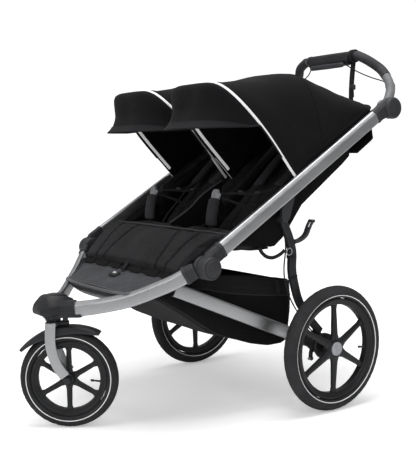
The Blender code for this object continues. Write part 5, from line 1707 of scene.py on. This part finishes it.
def canopy_roofs():
    grid, normals = roof_grid()
    cover = sheet(grid, 0.0024, CANOPY_CENTRE)
    row = int(round(RIB * (grid.shape[0] - 1)))
    seam = [Vector(point) + Vector(normal) * 0.0004
            for point, normal in zip(grid[row], normals[row])]
    hem_section = box_section(0.0022, 0.0060, 0.0015, 2)
    rear_panel = canopy_rear_panel(grid[-1][2:-2])
    for side in SIDES:
        put("canopy_cover_*", cover, CANOPY, "upper_frame", "canopy_roof_*", side=side)
        put("canopy_seam_*", pipe(seam[1:-1], 0.0011, 8), CANOPY, "upper_frame", side=side)
        for edge, col in (("outer", 0), ("inner", -1)):
            hem = [Vector(point) + Vector((0, 0, 0.003)) for point in grid[:, col]]
            put(f"canopy_hem_{edge}_*", sweep(hem[::2], hem_section), CANOPY, "upper_frame",
                side=side)
            put(f"canopy_skirt_{edge}_*", canopy_skirt(grid[::2, col], edge == "outer"),
                LINING, "upper_frame", side=side)
        put("canopy_rear_hem_*", pipe(grid[-1], 0.0030, 10), CANOPY, "upper_frame", side=side)
        put("canopy_rear_panel_*", rear_panel, SIDE, "upper_frame", side=side)


HOOP_FOOT = (-0.1180, 0.7180)           # y, z
HOOP_TOP = (-0.3800, 1.0010)
HOOP_HALF = 0.1595
VISOR_Z = 0.8740                        # height of the brim
VISOR_STEPS = 20
# Fall of the visor: share of the way down, backward offset, upward offset
FALL = [tuple(point) for point in smooth([
    (0.0, 0.0, 0.0), (0.05, -0.0075, 0.0055), (0.12, -0.0130, 0.0090),
    (0.22, -0.0115, 0.0070), (0.38, -0.0030, 0.0030), (0.60, 0.0080, 0.0010),
    (0.80, 0.0080, 0.0), (0.92, 0.0035, 0.0), (1.0, -0.0040, 0.0)], 6)]


def visor_grid():
    """One sheet from just behind the hoop, over it and down to the brim."""
    behind = arch((-0.1020, 0.7330), (-0.3520, 1.0040), HOOP_HALF, 5.0, 0.0110)
    hoop = arch(HOOP_FOOT, HOOP_TOP, HOOP_HALF, 5.0, 0.0115)
    height_share = (VISOR_Z - HOOP_FOOT[1]) / (HOOP_TOP[1] - HOOP_FOOT[1])
    side_y = HOOP_FOOT[0] + (HOOP_TOP[0] - HOOP_FOOT[0]) * height_share
    rows = [behind, [tuple(Vector(start).lerp(Vector(end), 0.5))
                     for start, end in zip(behind, hoop)], hoop]
    for k in range(1, VISOR_STEPS + 1):
        share = k / VISOR_STEPS
        line = []
        for start in map(Vector, hoop):
            across = max(-1.0, min(1.0, (start.x - CHILD_X) / (HOOP_HALF + 0.011)))
            rise = start.z - VISOR_Z
            bow = max(0.0, 1 - abs(across) ** 3.2) ** 0.5
            brim = Vector((start.x, side_y - 0.1700 * bow, VISOR_Z - 0.004 * bow))
            if rise < 0.012:
                point = start + Vector((0, -0.0028 * share, -0.0022 * share))
            else:
                point = start.lerp(brim, share)
                amount = min(1.0, rise / 0.09)
                point.y += lookup(FALL, share, 1) * amount * (0.30 + 0.70 * bow)
                point.z += lookup(FALL, share, 2) * amount * bow
                point.y += 0.0012 * sin(across * 9 + share * 4) * sin(pi * share) * amount
            line.append(tuple(point))
        rows.append(line)
    return np.array(rows)


def hoop_piping(hoop, plane_normal, centre):
    """Flat oval band that follows the hoop."""
    hoop = [Vector(point) for point in hoop]
    rings = []
    for i, point in enumerate(hoop):
        way = hoop[min(i + 1, 64)] - hoop[max(i - 1, 0)]
        out = way.cross(plane_normal).normalized()
        if out.dot(point - centre) < 0:
            out = -out
        rings.append([point + plane_normal * (0.0044 * cos(angle))
                      + out * (0.0024 * sin(angle) + 0.0004) for angle in turns(16)])
    return loft(rings)


def inner_band(visor, normals, centre):
    """Pale band under the strip between the hoop and the visor's rear edge; its material glows,
    which is painted light.
    """
    rows = []
    for share in np.linspace(0.06, 0.52, 5):
        inward = normals[2] * (1 - share) + normals[0] * share
        inward[:, 1] *= 0.4
        inward = normals[1] if share > 0.3 else (normals[1] + inward) / 2
        rows.append((visor[2] * (1 - share) + visor[0] * share - inward * 0.0029)[2:-2])
    return sheet(rows, 0.0006, tuple(centre))


def visors():
    visor = visor_grid()
    normals = normals_away(visor, -2, 32, VISOR_CENTRE)
    rise = Vector((0, HOOP_TOP[0] - HOOP_FOOT[0], HOOP_TOP[1] - HOOP_FOOT[1])).normalized()
    plane_normal = Vector((0, rise.z, -rise.y)).normalized()        # points back and up
    centre = Vector((CHILD_X, (HOOP_FOOT[0] + HOOP_TOP[0]) / 2,
                     (HOOP_FOOT[1] + HOOP_TOP[1]) / 2))
    cover = sheet(visor, 0.0026, VISOR_CENTRE)
    piping = hoop_piping(visor[2], plane_normal, centre)
    # second layer along the brim
    hem = sheet(visor[-4:, 6:-6] + normals[-4:, 6:-6] * 0.0020, 0.0024, VISOR_CENTRE)
    edge = pipe(visor[-1][6:-6], 0.0030, 10)
    band = inner_band(visor, normals, centre)
    for side in SIDES:
        put("visor_*", cover, CANOPY, "canopy_*", "canopy_hoop_*", side=side)
        for name, part, material in (("hoop_piping_*", piping, PIPING),
                                     ("visor_hem_*", hem, HEM), ("visor_edge_*", edge, HEM),
                                     ("hoop_inner_band_*", band, INNER_GLOW)):
            put(name, part, material, "canopy_*", side=side)


# --------------------------------------------------------------------- basket

BASKET_FRONT, BASKET_REAR = -0.556, -0.0450
BASKET_HALF = 0.2460
# Heights of the basket's top edge, floor and side seam: y, z
BASKET_EDGE = [(-0.556, 0.4120), (-0.48, 0.4270), (-0.37, 0.4370), (-0.25, 0.4270),
               (-0.12, 0.4080), (-0.045, 0.3940)]
BASKET_FLOOR = [
    (-0.556, 0.3960), (-0.5238, 0.3760), (-0.4479, 0.3270), (-0.3524, 0.2650),
    (-0.3066, 0.2450), (-0.2221, 0.2175), (-0.1461, 0.2000), (-0.0926, 0.1990),
    (-0.066, 0.2120), (-0.045, 0.2500)]
BASKET_SEAM = [
    (-0.556, 0.4080), (-0.480, 0.4120), (-0.394, 0.4026), (-0.3516, 0.3903), (-0.2871, 0.3773),
    (-0.2218, 0.3684), (-0.1463, 0.3583), (-0.068, 0.3500), (-0.045, 0.3490)]


def basket_grid():
    rows = []
    for k in range(57):
        way = 2 * (k / 56) - 1
        y = ((BASKET_FRONT + BASKET_REAR) / 2
             + (BASKET_REAR - BASKET_FRONT) / 2 * signed_power(way, 0.75))
        top, low = lookup(BASKET_EDGE, y), lookup(BASKET_FLOOR, y)
        seam = min(lookup(BASKET_SEAM, y), top - 0.010)
        half = BASKET_HALF * (1 - 0.10 * max(0.0, abs(way) - 0.86) / 0.14)
        # width share, z
        wall = [(0.2330 / BASKET_HALF, top), (0.2360 / BASKET_HALF, top * 0.75 + seam * 0.25),
                (0.2420 / BASKET_HALF, top * 0.45 + seam * 0.55), (1.0, seam)]
        for fall in (0.15, 0.35, 0.55, 0.75, 0.90):
            wall.append((1.0 + 0.010 * sin(pi * fall) - 0.035 * fall * fall,
                         seam + (low - seam) * fall * 0.985))
        wall += [(0.945, low), (0.930, low - 0.0008)]
        floor = [(x, low - 0.0060 * (1 - (x / 0.93) ** 2))
                 for x in np.linspace(0.80, -0.80, 17)]
        full = wall + floor + [(-x, z) for x, z in reversed(wall)]
        rows.append([(half * x, y,
                      z + 0.0012 * sin(y * 34 + x * 5) * sin(pi * j / (len(full) - 1)))
                     for j, (x, z) in enumerate(full)])
    return np.array(rows)


def basket_end(row, inward):
    """Panel that closes the tub at one end."""
    cols = []
    for x, y, z in row[3:-3]:
        base = Vector((x, y, z))
        top = Vector((x * 0.98, y + 0.004 * inward, max(row[0][2], z)))
        cols.append([tuple(base.lerp(top, share)) for share in np.linspace(0, 1, 7)])
    return sheet(cols, 0.0022, (0, -0.30, 0.40))


def basket():
    grid = basket_grid()
    normals = normals_away(grid, 28, 6, (0, -0.30, 0.40))
    inside = (0, -0.30, 0.50)

    def piece(name, part, material, cad=None, crease=60):
        return put(name, part, material, "rear_arm", cad, crease)

    def raised(rows, cols, lift):
        return grid[rows, cols] + normals[rows, cols] * lift

    most = slice(1, -1)
    body = piece("basket_body", sheet(grid, 0.0024, inside), BASKET, "basket", 50)
    ends = piece("basket_ends", merged(basket_end(grid[0], 1), basket_end(grid[-1], -1)),
                 BASKET, crease=50)
    hem = piece("basket_hem", merged(*(pipe(grid[2:-2, col], 0.0036, 10) for col in (0, -1))),
                SIDE)
    under = piece("basket_under_panel", sheet(raised(slice(2, -12), slice(11, -11), 0.0012),
                                              0.0012, inside), BAND)
    band = piece("basket_top_band", merged(*(
        sheet(raised(most, cols, 0.0016), 0.0014, inside)
        for cols in (slice(0, 4), slice(-4, None)))), BASKET_TOP)
    # seams below the band and near the floor: column, lift, radius
    seams = piece("basket_seams", merged(*(
        pipe(raised(most, col, lift), radius, 8)
        for col, lift, radius in ((3, 0.0016, 0.0019), (-4, 0.0016, 0.0019),
                                  (9, 0.0006, 0.0016), (-10, 0.0006, 0.0016)))), BAND)
    for ob in (body, hem, band, under, ends, seams):
        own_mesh(ob)
    straps = [ribbon([(0.2420 * sign, y, z), (0.2480 * sign, y, z - 0.020),
                      (0.2500 * sign, y, z - 0.045)], 0.016, 0.0018, up=(1, 0, 0.2))
              for sign in (1, -1) for y, z in ((-0.470, 0.4230), (-0.120, 0.4030))]
    piece("basket_straps", merged(*straps), WEBBING, crease=50)


# ------------------------------------------------------------ kept CAD nodes

KEPT = {
    "strut_bracket_left": BLACK, "strut_bracket_right": BLACK, "upright_bracket_left": BLACK,
    "upright_bracket_right": BLACK, "pivot_button_left": GREY, "pivot_button_right": GREY,
    "upper_cross_tube": BLACK, "rear_axle_tube": BLACK, "swivel_lock_knob": GREY}


def finish_kept_nodes():
    for name, material in KEPT.items():
        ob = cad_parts[name]
        if not ob.hide_render:
            ob.data.materials.clear()
            ob.data.materials.append(material)


# ---------------------------------------------------------------------- stage

AZIMUTH = radians(54.32)        # of the camera, from -Y towards +X
ELEVATION = radians(5.40)
ROLL = radians(-0.37)


def floor_material():
    """Matt white that glows brighter to the camera away from the stroller."""
    look = Surface("floor_look", (0.93, 0.93, 0.93), 0.7)
    look.set({"Roughness": look.ramp(look.noise(scale=1.2, detail=2), low=0.62, high=0.74),
              "Specular IOR Level": 0.0, "Emission Color": (1, 1, 1, 1)})
    seen = look.node("ShaderNodeLightPath").outputs["Is Camera Ray"]
    away = look.node("ShaderNodeVectorMath", {0: look.coord}, operation="LENGTH")
    glow = look.ramp(away.outputs["Value"], low=0.33, high=0.62, start=0.9, end=3.2)
    look.set({"Emission Strength": look.math("MULTIPLY", seen, glow)})
    return look.material


def floor():
    """Flat floor that curves up into a wall behind, square to the camera."""
    front, bend, radius, top, half_width = -14.0, 3.6, 4.0, 16.0, 16.0
    profile = [(front, 0.0), (bend, 0.0)]
    for k in range(1, 17):
        angle = pi / 2 * k / 16
        profile.append((bend + radius * sin(angle), radius - radius * cos(angle)))
    profile.append((bend + radius, top))
    ahead = Vector((-sin(AZIMUTH), cos(AZIMUTH), 0))
    across = Vector((cos(AZIMUTH), sin(AZIMUTH), 0))
    vertices = []
    for distance, z in profile:
        for aside in (-half_width, half_width):
            point = ahead * distance + across * aside
            vertices.append((point.x, point.y, z))
    faces = [(2 * i, 2 * i + 1, 2 * i + 3, 2 * i + 2) for i in range(len(profile) - 1)]
    mesh = bpy.data.meshes.new("floor")
    mesh.from_pydata(vertices, [], faces)
    mesh.shade_smooth()
    mesh.materials.append(floor_material())
    ob = bpy.data.objects.new("floor", mesh)
    bpy.context.scene.collection.objects.link(ob)


def studio_world():
    """White world, dimmer as a light than to the camera."""
    world = bpy.data.worlds.new("studio")
    world.use_nodes = True
    tree = world.node_tree
    background = tree.nodes["Background"]
    background.inputs[0].default_value = (1, 1, 1, 1)
    light_path = tree.nodes.new("ShaderNodeLightPath")
    strength = tree.nodes.new("ShaderNodeMapRange")
    strength.inputs["To Min"].default_value = 0.36
    strength.inputs["To Max"].default_value = 1.05
    tree.links.new(light_path.outputs["Is Camera Ray"], strength.inputs["Value"])
    tree.links.new(strength.outputs["Result"], background.inputs[1])
    bpy.context.scene.world = world


def lamp(name, location, target, size, power):
    """An area light, with size (width, height), aimed at a target."""
    data = bpy.data.lights.new(name, "AREA")
    data.shape = "RECTANGLE"
    data.size, data.size_y = size
    data.energy = power
    ob = bpy.data.objects.new(name, data)
    bpy.context.scene.collection.objects.link(ob)
    ob.location = location
    way = Vector(target) - Vector(location)
    ob.rotation_euler = way.to_track_quat("-Z", "Y").to_euler()


def camera():
    data = bpy.data.cameras.new("camera")
    ob = bpy.data.objects.new("camera", data)
    bpy.context.scene.collection.objects.link(ob)
    data.sensor_width = 36.0
    data.sensor_fit = "AUTO"
    data.lens = 62.923077
    data.clip_start = 0.05
    back = Vector((sin(AZIMUTH) * cos(ELEVATION), -cos(AZIMUTH) * cos(ELEVATION),
                   sin(ELEVATION)))
    right = Vector((0, 0, 1)).cross(back).normalized()
    up = back.cross(right)
    rolled_right = right * cos(ROLL) + up * sin(ROLL)
    rolled_up = up * cos(ROLL) - right * sin(ROLL)
    place = Matrix((rolled_right, rolled_up, back)).transposed().to_4x4()
    place.translation = Vector((2.173, -1.767 + AXLE_Y, 0.788))
    ob.matrix_world = place
    bpy.context.scene.camera = ob


for build in (
        frame_tubes, head_block, collar_lugs, hubs, handlebar, hand_brake, wrist_strap, wheels,
        front_fork, fender, axle_blocks, uprights, brake_pedal, footrest_plate, footrest_edges,
        footrest_bowl, footrest_clip, footrest_fabric, calf_pad, seats, seat_back_pads,
        seat_back_fabric, middle_web, side_panels, divider, harness, canopy_roofs, visors,
        basket, finish_kept_nodes, floor, studio_world):
    build()

lamp("overhead", (0.3, 0.0, 3.4), target=(0, 0, 0.4), size=(2.4, 2.0), power=90)
lamp("key", (3.2, -1.2, 2.4), target=(0, 0, 0.6), size=(2.0, 2.0), power=34)
lamp("fill", (-0.4, -3.4, 2.0), target=(0, 0, 0.5), size=(1.5, 1.5), power=30)
camera()
view = bpy.context.scene.view_settings
view.view_transform = "Standard"
view.look = "None"
view.exposure = 0.0
